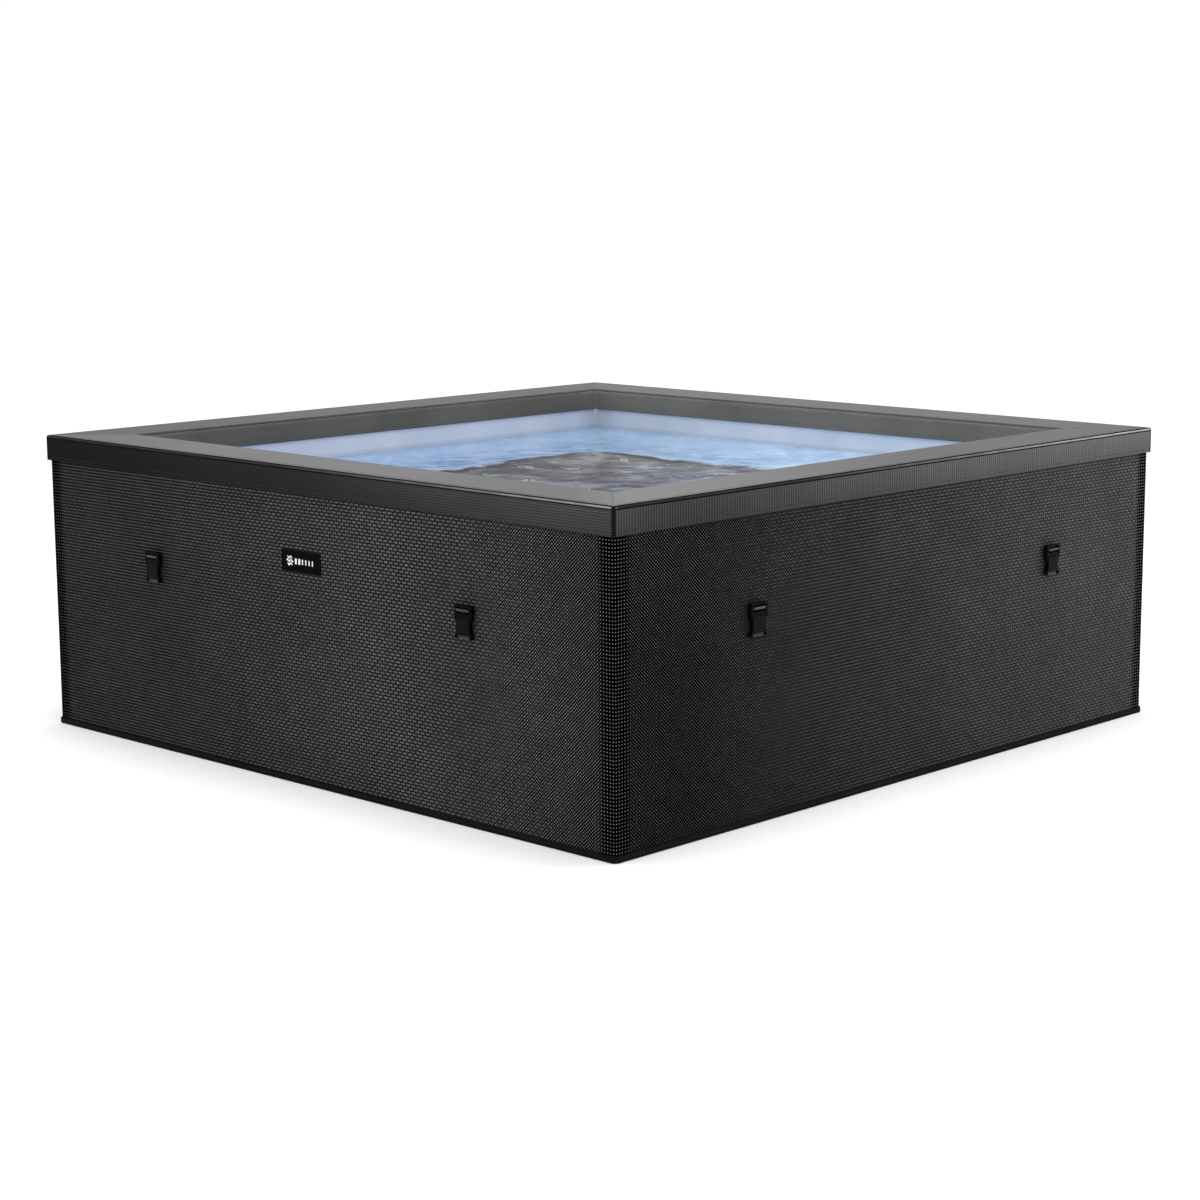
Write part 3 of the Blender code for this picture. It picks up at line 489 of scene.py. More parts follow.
    # painted shadow: a near-black line along the churned water's edge, where its lifted crest casts shade
    rim = m.math("MULTIPLY", rim, m.span(m.noise(3.0, 3.0, 0.6, m.vec(x, y, 21.0)), 0.38, 0.60, 0.40, 0.90))
    dark = m.mix(rim, dark, (0.014, 0.015, 0.018))
    colour = m.mix(patch, calm, dark)
    small = m.noise(38.0, 3.0, 0.55, flat, 0.6)
    chop = m.math("MULTIPLY", small, m.math("MULTIPLY_ADD", patch, 0.10, 0.20))
    m.set(Base__Color=colour, Roughness=m.span(patch, 0.0, 1.0, 0.12, 0.16), Normal=m.bump(chop, 0.010, 0.30))
    m.set(IOR=1.33, Specular__IOR__Level=m.span(patch, 0.0, 1.0, 0.30, 0.004))
    return m.m


def plastic(name, colour, rough=(0.28, 0.40), grain=0.10, spec=0.5, coat=0.0, scuffed=1.0):
    """Moulded plastic: a fine spark-eroded texture, faint flow marks, scuffs that are rougher and a little paler."""
    m = Mat(name)
    flow = m.noise(26.0, 3.0, 0.6, None, 0.8)
    fine = m.noise(2600.0, 2.0)
    scuff = m.span(m.noise(150.0, 5.0, 0.7, None, 0.4), 0.58, 0.70)
    c1 = tuple(v * 0.86 for v in colour)
    c2 = tuple(min(1.0, v * 1.14) for v in colour)
    base = m.mix(m.span(flow, 0.35, 0.65), c1, c2)
    base = m.mix(m.math("MULTIPLY", scuff, 0.18 * scuffed), base, tuple(min(1.0, v * 1.5 + 0.02 * scuffed) for v in colour))
    r = m.math("ADD", m.span(flow, 0.3, 0.7, rough[0], rough[1]), m.math("MULTIPLY", scuff, 0.12))
    m.set(Base__Color=base, Roughness=r, Normal=m.bump(fine, 0.0001, grain))
    m.set(Specular__IOR__Level=spec)
    if coat:
        m.set(Coat__Weight=coat, Coat__Roughness=0.12)
    return m.m


def webbing():
    """Flat polypropylene strap: a fine twill of small slanted picks."""
    m = Mat("strap_webbing")
    x, y, z, vec = m.xyz()
    s = m.math("ADD", x, y)
    a = m.math("SINE", m.math("MULTIPLY", m.math("ADD", s, z), 2 * math.pi / 0.0022))
    b = m.math("SINE", m.math("MULTIPLY", m.math("SUBTRACT", s, z), 2 * math.pi / 0.0022))
    w = m.math("MULTIPLY_ADD", m.math("MULTIPLY", a, b), 0.5, 0.5)
    fuzz = m.noise(1800.0, 2.0)
    tone = m.math("MULTIPLY", m.span(w, 0.0, 1.0, 0.006, 0.020, False), m.span(fuzz, 0.2, 0.8, 0.8, 1.2))
    m.set(Base__Color=m.grey(tone), Roughness=0.78, Normal=m.bump(w, 0.0005, 0.8))
    m.set(Sheen__Weight=0.15, Sheen__Roughness=0.5, Specular__IOR__Level=0.3)
    return m.m


def foam():
    """Moulded bead foam: a mosaic of small beads with dark lines between them."""
    m = Mat("bead_foam")
    cell = m.voronoi(260.0, "DISTANCE_TO_EDGE")
    bead = m.voronoi(260.0, "F1")
    soft = m.noise(5.0, 3.0)
    tone = m.math("MULTIPLY", m.span(cell, 0.0, 0.10, 0.55, 0.86), m.span(soft, 0.3, 0.7, 0.92, 1.04))
    m.set(Base__Color=m.vec(tone, tone, m.math("MULTIPLY", tone, 0.985)), Roughness=0.88, Normal=m.bump(bead, 0.001, -0.6))
    m.set(Specular__IOR__Level=0.2)
    return m.m


def thread(name, tone):
    m = Mat(name)
    x, y, z, vec = m.xyz()
    twist = m.math("SINE", m.math("MULTIPLY", m.math("ADD", m.math("ADD", x, y), z), 2 * math.pi / 0.0011))
    f = m.span(twist, -1.0, 1.0, 0.7, 1.25, False)
    m.set(Base__Color=m.grey(m.math("MULTIPLY", f, tone)), Roughness=m.span(m.noise(400.0), 0.3, 0.7, 0.5, 0.65), Normal=m.bump(twist, 0.0002, 0.5))
    return m.m


def paper():
    m = Mat("filter_paper")
    fibre = m.noise(900.0, 4.0, 0.7, None, 1.0)
    soft = m.noise(30.0, 3.0)
    tone = m.math("MULTIPLY", m.span(fibre, 0.3, 0.7, 0.66, 0.80), m.span(soft, 0.3, 0.7, 0.94, 1.04))
    m.set(Base__Color=m.vec(tone, m.math("MULTIPLY", tone, 1.01), m.math("MULTIPLY", tone, 1.03)), Roughness=0.85, Normal=m.bump(fibre, 0.0004, 0.5))
    return m.m


def pale_floor():
    m = Mat("studio_floor")
    soft = m.noise(0.8, 2.0)
    tone = m.span(soft, 0.3, 0.7, 0.86, 0.90)
    m.set(Base__Color=m.grey(tone), Roughness=0.9)
    m.set(Specular__IOR__Level=0.0, Emission__Color=(1.0, 1.0, 1.0), Emission__Strength=0.18)
    return m.m


MAT = {
    "textilene": textilene(),
    "rim_band": rim_band(),
    "rim_piping": rim_piping(),
    "rim_top": rim_top(),
    "rim_skirt": rim_skirt(),
    "rim_inside": leatherette("rim_backing", 0.030, 0.040, (0.7, 0.8)),
    "hem": leatherette("hem_binding", 0.0040, 0.0075, (0.42, 0.55), 1.4, spec=0.02),
    # the corner strips' near-black tone is painted shade
    "binding": leatherette("corner_painted_shade_strip", 0.0050, 0.0080, (0.35, 0.5), 1.4, spec=0.03),
    "seam": leatherette("rim_mitre_seam", 0.066, 0.084, (0.45, 0.6), 1.4, spec=0.12),
    "liner": liner_pvc(),
    # the welds are painted darker than the liner: painted shade in the basin's corners
    "weld": liner_pvc("basin_weld", 0.72),
    "water": water_mat(),
    "clip": plastic("clip_head_acetal", (0.0030, 0.0030, 0.0033), (0.16, 0.26), 0.05, 0.02, scuffed=0.3),
    "clip_body": plastic("clip_body_acetal", (0.0036, 0.0036, 0.0039), (0.20, 0.30), 0.05, 0.025, scuffed=0.3),
    # the grip bars are painted much lighter than the clips: a painted highlight along each bar
    "clip_bar_painted_highlight": plastic("clip_grip_bar", (0.036, 0.036, 0.038), (0.16, 0.26), 0.05, 0.16),
    "cap": plastic("cap_black_plastic", (0.016, 0.016, 0.017), (0.32, 0.45), 0.15, 0.4),
    "grey": plastic("union_grey_plastic", (0.16, 0.165, 0.17), (0.38, 0.50), 0.15, 0.4),
    "white": plastic("fitting_white_plastic", (0.66, 0.67, 0.68), (0.30, 0.42), 0.12, 0.5),
    "duct": plastic("duct_blue_plastic", (0.34, 0.46, 0.70), (0.34, 0.46), 0.12, 0.5),
    "sheet": leatherette("bottom_sheet", 0.035, 0.055, (0.55, 0.65)),
    "webbing": webbing(),
    "foam": foam(),
    "thread": thread("dark_thread", 0.014),
    "skirt_thread": thread("skirt_thread", 0.070),
    "top_thread": thread("top_thread", 0.062),
    "paper": paper(),
    "plate": plastic("label_plate_black", (0.0015, 0.0015, 0.0017), (0.30, 0.42), 0.05, 0.012, scuffed=0.2),
    "ink": plastic("label_white_ink", (0.80, 0.80, 0.80), (0.45, 0.55), 0.05, 0.3),
}


# ---------------------------------------------------------------- mesh helpers
def piece(name, verts, faces, mats, index=None, body="tub", slot=None, sharp=40, keep_normals=False):
    me = bpy.data.meshes.new(name)
    me.from_pydata([tuple(v) for v in verts], [], faces)
    me.validate()
    for m in (mats if isinstance(mats, (list, tuple)) else [mats]):
        me.materials.append(m)
    if index is not None:
        me.polygons.foreach_set("material_index", index)
    if not keep_normals:
        bm = bmesh.new()
        bm.from_mesh(me)
        bmesh.ops.recalc_face_normals(bm, faces=bm.faces)
        bm.to_mesh(me)
        bm.free()
    me.shade_smooth()
    me.set_sharp_from_angle(angle=math.radians(sharp))
    o = bpy.data.objects.new(name, me)
    bpy.context.scene.collection.objects.link(o)
    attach(o, body)
    return o


def square_ring(h, r, n_side, n_arc):
    """Points round a square of half width h with corner radius r, the same number for any h and r.
    It runs anticlockwise from the front wall's left end."""
    out = []
    for k in range(4):
        c, s = ((1, 0), (0, 1), (-1, 0), (0, -1))[k]
        pts = [(-(h - r) + 2 * (h - r) * i / n_side, -h) for i in range(n_side + 1)]
        pts += [((h - r) + r * math.sin(a), -(h - r) - r * math.cos(a)) for a in (math.pi / 2 * j / n_arc for j in range(1, n_arc))]
        out += [(x * c - y * s, x * s + y * c) for x, y in pts]
    return out


def lofted_ring(name, rows, n_side, n_arc, mats, index, **kw):
    """rows: closed profile of (half width, z, corner radius, wave). wave moves a point by noise, outwards and up."""
    verts, n = [], 4 * (n_side + n_arc)
    for h, z, r, wave in rows:
        for x, y in square_ring(h, r, n_side, n_arc):
            dh = dz = 0.0
            if wave:
                p = Vector((x * 6.0, y * 6.0, z * 9.0))
                dh = wave * noise.noise(p)
                dz = wave * 0.6 * noise.noise(p + Vector((31.7, 5.1, 2.2)))
            k = (h + dh) / h
            verts.append((x * k, y * k, z + dz))
    faces, idx = [], []
    m = len(rows)
    for i in range(m):
        a, b = i * n, ((i + 1) % m) * n
        for j in range(n):
            q = (j + 1) % n
            faces.append((a + j, a + q, b + q, b + j))
            idx.append(index[i])
    return piece(name, verts, faces, mats, idx, **kw)


def from_node(name, node, mat):
    """A new piece with a copy of a CAD node's mesh, its doubled points joined."""
    me = NODES[node].data.copy()
    me.name = name
    bm = bmesh.new()
    bm.from_mesh(me)
    bmesh.ops.remove_doubles(bm, verts=bm.verts, dist=1e-5)
    bmesh.ops.dissolve_limit(bm, angle_limit=math.radians(1), verts=bm.verts, edges=bm.edges)
    return bm, me


def bevel_edges(bm, pick, width, segments=3):
    edges = [e for e in bm.edges if pick(e)]
    if edges:
        bmesh.ops.bevel(bm, geom=edges, offset=width, segments=segments, profile=0.5, affect="EDGES", clamp_overlap=True)


def finish_piece(bm, me, name, mat, body="tub", sharp=30):
    bmesh.ops.recalc_face_normals(bm, faces=bm.faces)
    bm.to_mesh(me)
    bm.free()
    me.materials.clear()
    me.materials.append(mat)
    me.shade_smooth()
    me.set_sharp_from_angle(angle=math.radians(sharp))
    o = bpy.data.objects.new(name, me)
    bpy.context.scene.collection.objects.link(o)
    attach(o, body)
    return o


def round_cutters(depth_lo, depth_hi, grow=0.0006):
    """Upright round tools along Y where the unions and the drain pass through the back wall."""
    tools = []
    for node in ("outlet_union", "return_union", "air_union", "drain_valve"):
        lo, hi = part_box(node)
        x, z = (lo.x + hi.x) / 2, (lo.z + hi.z) / 2
        r = {"outlet_union": 0.030, "return_union": 0.030, "air_union": 0.022, "drain_valve": 0.018}[node] + grow
        tools.append((x, z, r))
    bm = bmesh.new()
    for x, z, r in tools:
        where = Matrix.Translation((x, (depth_lo + depth_hi) / 2, z)) @ Matrix.Rotation(math.pi / 2, 4, "X")
        bmesh.ops.create_cone(bm, cap_ends=True, segments=40, radius1=r, radius2=r, depth=depth_hi - depth_lo, matrix=where)
    me = bpy.data.meshes.new("cutters")
    bm.to_mesh(me)
    bm.free()
    o = bpy.data.objects.new("cutters", me)
    bpy.context.scene.collection.objects.link(o)
    return o


def cut(o, tool):
    """Cuts tool from o and leaves the result in o's mesh."""
    mod = o.modifiers.new("cut", "BOOLEAN")
    mod.operation, mod.solver, mod.object = "DIFFERENCE", "EXACT", tool
    bpy.context.view_layer.update()
    graph = bpy.context.evaluated_depsgraph_get()
    me = bpy.data.meshes.new_from_object(o.evaluated_get(graph), depsgraph=graph)
    o.modifiers.clear()
    mats = list(o.data.materials)
    o.data = me
    if not len(me.materials):
        for m in mats:
            me.materials.append(m)
    bpy.data.objects.remove(tool, do_unlink=True)


def paint(node, mat, slot=None, width=0.0, segments=2, angle=32):
    """A CAD node that stays: a procedural material and softened edges."""
    o = NODES[node]
    o.data.materials.clear()
    o.data.materials.append(mat)
    o.data.polygons.foreach_set("material_index", [0] * len(o.data.polygons))
    if width:
        w = o.modifiers.new("join", "WELD")
        w.merge_threshold = 2e-6
        b = o.modifiers.new("edge", "BEVEL")
        b.width, b.segments, b.limit_method, b.angle_limit = width, segments, "ANGLE", math.radians(angle)
        b.use_clamp_overlap = True
        b.harden_normals = False
    return o


# ---------------------------------------------------------------- woven jacket
NX, NZ = 150, 60


def wall_wave(side, x, z):
    """How far in the fabric lies at a point of a wall, in metres: it is drawn tight over the foam, and a little
    looser between the rim and the foot and round whatever is fixed to it."""
    k = {"front": 0.0, "right": 11.3, "back": 23.9, "left": 37.1}[side]
    w = 0.00085 * (0.5 + noise.noise(Vector((x * 2.3 + k, z * 3.1, 1.7)))) + 0.00030 * noise.noise(Vector((x * 9.0 + k, z * 5.0, 4.1)))
    for place, (where, middle) in CLIPS.items():
        if where == side:
            local = turned(side).inverted() @ middle
            d2 = ((x - local.x) / 0.055) ** 2 + ((z - 0.427) / 0.065) ** 2
            w += 0.0010 * math.exp(-d2)
    if side == "front":
        d2 = (x / 0.09) ** 2 + ((z - 0.4925) / 0.05) ** 2
        w += 0.0002 * math.exp(-d2)
    fade = min(1.0, (WALL_HALF - CORNER_R - abs(x)) / 0.06) * min(1.0, (z - WALL_LO) / 0.03, (WALL_HI - z) / 0.03)
    return max(0.0, w) * max(0.0, fade)


for side in TURNS:
    half = WALL_HALF - CORNER_R
    spin = turned(side)
    verts, faces = [], []
    for back in (0, 1):
        for j in range(NZ + 1):
            z = WALL_LO + (WALL_HI - WALL_LO) * j / NZ
            for i in range(NX + 1):
                x = -half + 2 * half * i / NX
                y = -WALL_HALF + (0.0026 if back else 0.0) + (0 if back else wall_wave(side, x, z))
                verts.append(spin @ Vector((x, y, z)))
    n, m = NX + 1, (NX + 1) * (NZ + 1)
    for j in range(NZ):
        for i in range(NX):
            a = j * n + i
            faces.append((a, a + 1, a + n + 1, a + n))
            faces.append((m + a, m + a + n, m + a + n + 1, m + a + 1))
    for j in range(NZ):
        for i in (0, NX):
            a, b = j * n + i, (j + 1) * n + i
            faces.append((a, b, b + m, a + m) if i == 0 else (a, a + m, b + m, b))
    for i in range(NX):
        for j in (0, NZ):
            a, b = j * n + i, j * n + i + 1
            faces.append((a, a + m, b + m, b) if j == 0 else (a, b, b + m, a + m))
    o = piece("jacket_panel_" + side, verts, faces, MAT["textilene"], slot="textilene")
    if side == "back":
        cut(o, round_cutters(WALL_HALF - 0.03, WALL_HALF + 0.03))
        o.data.shade_smooth()
        o.data.set_sharp_from_angle(angle=math.radians(40))
    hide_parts("wall_cover_" + side)

N_ARC = 12
for k, corner in enumerate(("front_right", "back_right", "back_left", "front_left")):
    spin = Matrix.Rotation(math.radians(90 * k), 4, "Z")
    c = WALL_HALF - CORNER_R
    verts, faces = [], []
    for inner in (0, 1):
        r = CORNER_R - (0.0026 if inner else 0.0)
        for j in range(NZ + 1):
            z = WALL_LO + (WALL_HI - WALL_LO) * j / NZ
            for i in range(N_ARC + 1):
                a = math.pi / 2 * i / N_ARC
                verts.append(spin @ Vector((c + r * math.sin(a), -c - r * math.cos(a), z)))
    n, m = N_ARC + 1, (N_ARC + 1) * (NZ + 1)
    for j in range(NZ):
        for i in range(N_ARC):
            a = j * n + i
            faces.append((a, a + 1, a + n + 1, a + n))
            faces.append((m + a, m + a + n, m + a + n + 1, m + a + 1))
        for i in (0, N_ARC):
            a, b = j * n + i, (j + 1) * n + i
            faces.append((a, b, b + m, a + m))
    for i in range(N_ARC):
        for j in (0, NZ):
            a, b = j * n + i, j * n + i + 1
            faces.append((a, a + m, b + m, b))
    o = piece("jacket_corner_" + corner, verts, faces, MAT["textilene"], slot="textilene")
    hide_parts("corner_seam_" + corner)

# ---------------------------------------------------------------- foam walls, pad, bottom sheet
for side in TURNS:
    bm, me = from_node("foam_wall_" + side, "foam_panel_" + side, None)
    out = WALL_HALF - 0.004

    def upright(e):
        a, b = e.verts[0].co, e.verts[1].co
        return abs(a.x) > out and abs(a.y) > out and (a - b).length > 0.3

    bevel_edges(bm, upright, CORNER_R - 0.002, 6)
    o = finish_piece(bm, me, "foam_wall_" + side, MAT["foam"])
    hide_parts("foam_panel_" + side)

bm, me = from_node("floor_pad", "floor_foam_pad", None)
bevel_edges(bm, lambda e: e.calc_face_angle(0) > 1.0, 0.006, 3)
o = finish_piece(bm, me, "floor_pad", MAT["foam"])
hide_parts("floor_foam_pad")

bm, me = from_node("bottom_sheet", "base_sheet", None)
bevel_edges(bm, lambda e: (e.verts[0].co - e.verts[1].co).length < 0.01, CORNER_R - 0.001, 6)
o = finish_piece(bm, me, "bottom_sheet", MAT["sheet"])
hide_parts("base_sheet")

# ---------------------------------------------------------------- foot binding
NS, NA = 96, 10
prof = [(0.0, TRIM_TOP - 0.0006), (0.0014, TRIM_TOP + 0.0006), (0.0030, TRIM_TOP + 0.0002), (0.0039, TRIM_TOP - 0.0014),
        (0.0042, TRIM_TOP - 0.0040), (0.0037, TRIM_TOP - 0.0052), (0.0042, TRIM_TOP - 0.0064), (0.0042, 0.0034), (0.0037, 0.0012), (0.0024, 0.0002),
        (0.0004, 0.0), (-0.0004, 0.0), (-0.0004, 0.006)]
rows = [(WALL_HALF + n + 0.0001, z, CORNER_R + n, 0.0003 if 2 <= i <= 7 else 0.0) for i, (n, z) in enumerate(prof)]
o = lofted_ring("foot_binding", rows, NS, NA, [MAT["hem"]], [0] * len(rows), slot="hem")
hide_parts(*["base_trim_" + s for s in TURNS])

# ---------------------------------------------------------------- rim cover: band, top and skirt sewn together
H, T = RIM_HALF, RIM_TOP


def arc(ch, cz, r, a0, a1, n):
    return [(ch + r * math.cos(math.radians(a0 + (a1 - a0) * i / n)), cz + r * math.sin(math.radians(a0 + (a1 - a0) * i / n))) for i in range(n + 1)]


band = [(H - 0.0006, BAND_LO), (H + 0.0004, BAND_LO + 0.0012), (H + 0.0006, BAND_LO + 0.0040), (H + 0.0002, BAND_LO + 0.0066), (H - 0.0001, BAND_LO + 0.0074),
        (H + 0.0002, BAND_LO + 0.0082), (H + 0.0004, BAND_LO + 0.0110)]
band += [(H + 0.0005 - 0.0002 * math.cos((z - 0.66) * 90), z) for z in np.linspace(BAND_LO + 0.016, T - 0.0096, 9)]
under = [(H + 0.0001, T - 0.0090), (H - 0.0009, T - 0.0085), (H - 0.0012, T - 0.0077), (H - 0.0009, T - 0.0069)]
edge = arc(H - 0.0018, T - 0.0049, 0.0021, -42, 108, 9)
groove = [(H - 0.0030, T - 0.0032), (H - 0.0038, T - 0.0034), (H - 0.0044, T - 0.0028), (H - 0.0046, T - 0.0014)]
top = [(H - 0.0049, T - 0.0007), (H - 0.0055, T - 0.0004)]
top += [(H - 0.0066 - (H - 0.0066 - RIM_INNER - 0.0042) * f, T - 0.0004 + 0.0005 * math.sin(math.pi * f)) for f in np.linspace(0.0, 1.0, 14)]
lip = arc(RIM_INNER + 0.0032, T - 0.0036, 0.0032, 90, 180, 6)
skirt = [(RIM_INNER, T - 0.0044), (RIM_INNER + 0.0007, T - 0.0050), (RIM_INNER + 0.0010, T - 0.0056), (RIM_INNER + 0.0007, T - 0.0062), (RIM_INNER, T - 0.0070)]
skirt += [(RIM_INNER - 0.0001, z) for z in np.linspace(T - 0.014, SKIRT_LO + 0.010, 6)]
skirt += [(RIM_INNER + 0.0001, SKIRT_LO + 0.0072), (RIM_INNER + 0.0003, SKIRT_LO + 0.0064), (RIM_INNER + 0.0001, SKIRT_LO + 0.0056),
          (RIM_INNER - 0.0001, SKIRT_LO + 0.0030), (RIM_INNER + 0.0002, SKIRT_LO + 0.0008), (RIM_INNER + 0.0012, SKIRT_LO)]
inside = [(RIM_INNER + 0.0034, SKIRT_LO + 0.0002), (RIM_INNER + 0.0037, SKIRT_LO + 0.003), (RIM_INNER + 0.0038, T - 0.0048), (RIM_INNER + 0.0048, T - 0.0042),
          (H - 0.0070, T - 0.0052), (H - 0.0054, T - 0.0066), (H - 0.0044, BAND_LO + 0.003), (H - 0.0040, BAND_LO + 0.0003)]
rows, index = [], []
# the rows under the edge roll and in the groove take the dark hem sheet: a painted shadow line between the rim's top
# and its band
for group, mat_i, wave in ((band, 0, 0.0004), (under, 4, 0.0), (edge, 5, 0.0002), (groove, 4, 0.0), (top, 1, 0.0006), (lip, 1, 0.0003), (skirt, 2, 0.0004), (inside, 3, 0.0)):
    for h, z in group:
        if group is inside:
            r = 0.004 if h > 0.86 else 0.008
        elif group in (band, under, edge, groove):
            r = max(0.0022, 0.0060 - max(0.0, H - h) * 0.5)
        elif group is top:
            f = (H - h) / (H - RIM_INNER)
            r = 0.004 * (1 - f) + 0.005 * f
        else:
            r = 0.005
        rows.append((h, z, r, wave))
        index.append(mat_i)
o = lofted_ring("rim_cover_sewn", rows, 120, 8, [MAT["rim_band"], MAT["rim_top"], MAT["rim_skirt"], MAT["rim_inside"], MAT["hem"], MAT["rim_piping"]], index, slot="leatherette", sharp=50)
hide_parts("rim_cover")


def stitches(name, runs, mat, length=0.0056, gap=0.0026, r=0.00045, slot="seam_tape"):
    """Thread stitches as small humped beads. runs: (start, end, outward) with outward the side that shows."""
    verts, faces = [], []
    for start, end, outward in runs:
        start, end, outward = Vector(start), Vector(end), Vector(outward).normalized()
        along_ = end - start
        total = along_.length
        along_.normalize()
        across = along_.cross(outward).normalized()
        n = int(total / (length + gap))
        pad = (total - n * (length + gap) + gap) / 2
        for i in range(n):
            a = start + along_ * (pad + i * (length + gap))
            base = len(verts)
            for t, up, w in ((0.0, -0.9, 0.55), (0.18, 0.15, 0.95), (0.5, 0.55, 1.0), (0.82, 0.15, 0.95), (1.0, -0.9, 0.55)):
                c = a + along_ * (length * t) + outward * (r * up)
                for q in range(6):
                    an = math.pi / 3 * q
                    verts.append(c + across * (r * w * math.cos(an)) + outward * (r * w * math.sin(an)))
            for s in range(4):
                for q in range(6):
                    b = base + s * 6
                    faces.append((b + q, b + (q + 1) % 6, b + 6 + (q + 1) % 6, b + 6 + q))
            faces.append(tuple(base + q for q in range(5, -1, -1)))
            faces.append(tuple(base + 24 + q for q in range(6)))
    return piece(name, verts, faces, mat, slot=slot, sharp=80)


def run_round(h, z, outward_z, reach):
    """Four straight runs round the object at half width h, stopping short of the corners."""
    out = []
    for side in TURNS:
        spin = turned(side)
        a, b = spin @ Vector((-reach, -h, z)), spin @ Vector((reach, -h, z))
        n = spin @ Vector((0, -math.cos(outward_z), math.sin(outward_z)))
        out.append((a, b, n))
    return out


stitches("rim_top_stitching", run_round(H - 0.0112, T - 0.0001, math.pi / 2, H - 0.022), MAT["top_thread"])
stitches("rim_hem_stitching", run_round(H + 0.0000, BAND_LO + 0.0074, 0.0, H - 0.012), MAT["thread"])
inner = []
for side in TURNS:
    spin = turned(side)
    inner.append((spin @ Vector((-RIM_INNER + 0.012, -RIM_INNER - 0.0005, SKIRT_LO + 0.0064)), spin @ Vector((RIM_INNER - 0.012, -RIM_INNER - 0.0005, SKIRT_LO + 0.0064)), spin @ Vector((0, 1, 0))))
stitches("skirt_hem_stitching", inner, MAT["skirt_thread"], r=0.0004)

# mitred seams over the rim's top, from the outer corner to the inner one: a narrow welt
for k, corner in enumerate(("front_right", "back_right", "back_left", "front_left")):
    spin = Matrix.Rotation(math.radians(90 * k), 4, "Z")
    a, b = Vector((H - 0.0070, -(H - 0.0070), T)), Vector((RIM_INNER + 0.0046, -(RIM_INNER + 0.0046), T))
    d = (b - a).normalized()
    c = Vector((-d.y, d.x, 0.0))
    cross = [(-0.0013, -0.0016), (-0.0012, -0.0002), (-0.0007, 0.0002), (0.0, 0.0003), (0.0007, 0.0002), (0.0012, -0.0002), (0.0013, -0.0016)]
    verts, faces = [], []
    steps_ = 24
    for i in range(steps_ + 1):
        at = a.lerp(b, i / steps_)
        drop = 0.0006 if i in (0, steps_) else 0.0
        for w, up in cross:
            verts.append(spin @ (at + c * w + Vector((0, 0, up - drop + 0.0002 * math.sin(math.pi * i / steps_)))))
    n = len(cross)
    for i in range(steps_):
        for j in range(n):
            q = (j + 1) % n
            faces.append((i * n + j, i * n + q, (i + 1) * n + q, (i + 1) * n + j))
    faces.append(tuple(range(n)))
    faces.append(tuple(steps_ * n + j for j in range(n)))
    piece("rim_mitre_seam_" + corner, verts, faces, MAT["seam"], slot="seam_tape", sharp=70)
stitches("foot_stitching", run_round(WALL_HALF + 0.0036, TRIM_TOP - 0.0052, 0.0, WALL_HALF - 0.02), MAT["thread"], r=0.0004)

# dark strips over the band's four upright corners: painted shade for the dark line at each corner
for k, corner in enumerate(("front_right", "back_right", "back_left", "front_left")):
    spin = Matrix.Rotation(math.radians(90 * k), 4, "Z")
    r0, leg, thick = 0.0058, 0.0050, 0.0008
    out_line = [(H + 0.0005 - leg, -H - 0.0004)]
    c = H + 0.0005 - r0
    line = [(H - leg, -(H + 0.0006))]
    line += [(c + r0 * math.sin(a), -c - r0 * math.cos(a)) for a in (math.pi / 2 * i / 8 for i in range(9))]
    line += [(H + 0.0006, -(H - leg))]
    verts, faces = [], []
    zs = [BAND_LO - 0.0002, BAND_LO + 0.0008] + list(np.linspace(BAND_LO + 0.004, T - 0.008, 8)) + [T - 0.0045, T - 0.0022, T - 0.0008]
    n = len(line)
    for layer in (0, 1):
        for j, z in enumerate(zs):
            pull = 0.0 if j < len(zs) - 3 else (0.0005, 0.0016, 0.0034)[j - len(zs) + 3]
            for i, (x, y) in enumerate(line):
                edge_on = min(i, n - 1 - i) == 0
                out = (0.0 if layer else (0.0001 if edge_on else thick)) - pull - (0.0009 if layer else 0.0)
                d = Vector((x - (H - 0.02), y + (H - 0.02), 0)).normalized()
                verts.append(spin @ Vector((x + d.x * out, y + d.y * out, z)))
    m = n * len(zs)
    for j in range(len(zs) - 1):
        for i in range(n - 1):
            a = j * n + i
            faces.append((a, a + 1, a + n + 1, a + n))
            faces.append((m + a, m + a + n, m + a + n + 1, m + a + 1))
        for i in (0, n - 1):
            a, b = j * n + i, (j + 1) * n + i
            faces.append((a, b, b + m, a + m))
    for i in range(n - 1):
        for j in (0, len(zs) - 1):
            a = j * n + i
            faces.append((a, a + 1, a + 1 + m, a + m))
    piece("rim_corner_painted_shade_strip_" + corner, verts, faces, MAT["binding"], slot="seam_tape", sharp=60)

# ---------------------------------------------------------------- basin
floor_top = LINER_LO + 0.002
rows = [(LINER_IN, LINER_TOP, 0.012, 0.0)]
rows += [(LINER_IN, z, 0.012, 0.0011) for z in np.linspace(SKIRT_LO - 0.002, floor_top + 0.020, 22)]
rows += [(LINER_IN - 0.014 * (1 - math.cos(a)), floor_top + 0.014 * (1 - math.sin(a)), 0.012, 0.0) for a in (math.pi / 2 * i / 5 for i in range(6))]
rows += [(h, floor_top, 0.008 * h / 0.77, 0.0) for h in (0.74, 0.66, 0.54, 0.40, 0.24, 0.10)]
out_rows = [(h, LINER_LO, 0.008 * h / 0.77, 0.0) for h in (0.10, 0.40, 0.66, 0.76)]
out_rows += [(LINER_OUT - 0.010, LINER_LO, 0.010, 0.0), (LINER_OUT, LINER_LO + 0.010, 0.013, 0.0), (LINER_OUT, 0.35, 0.013, 0.0), (LINER_OUT, LINER_TOP, 0.013, 0.0)]


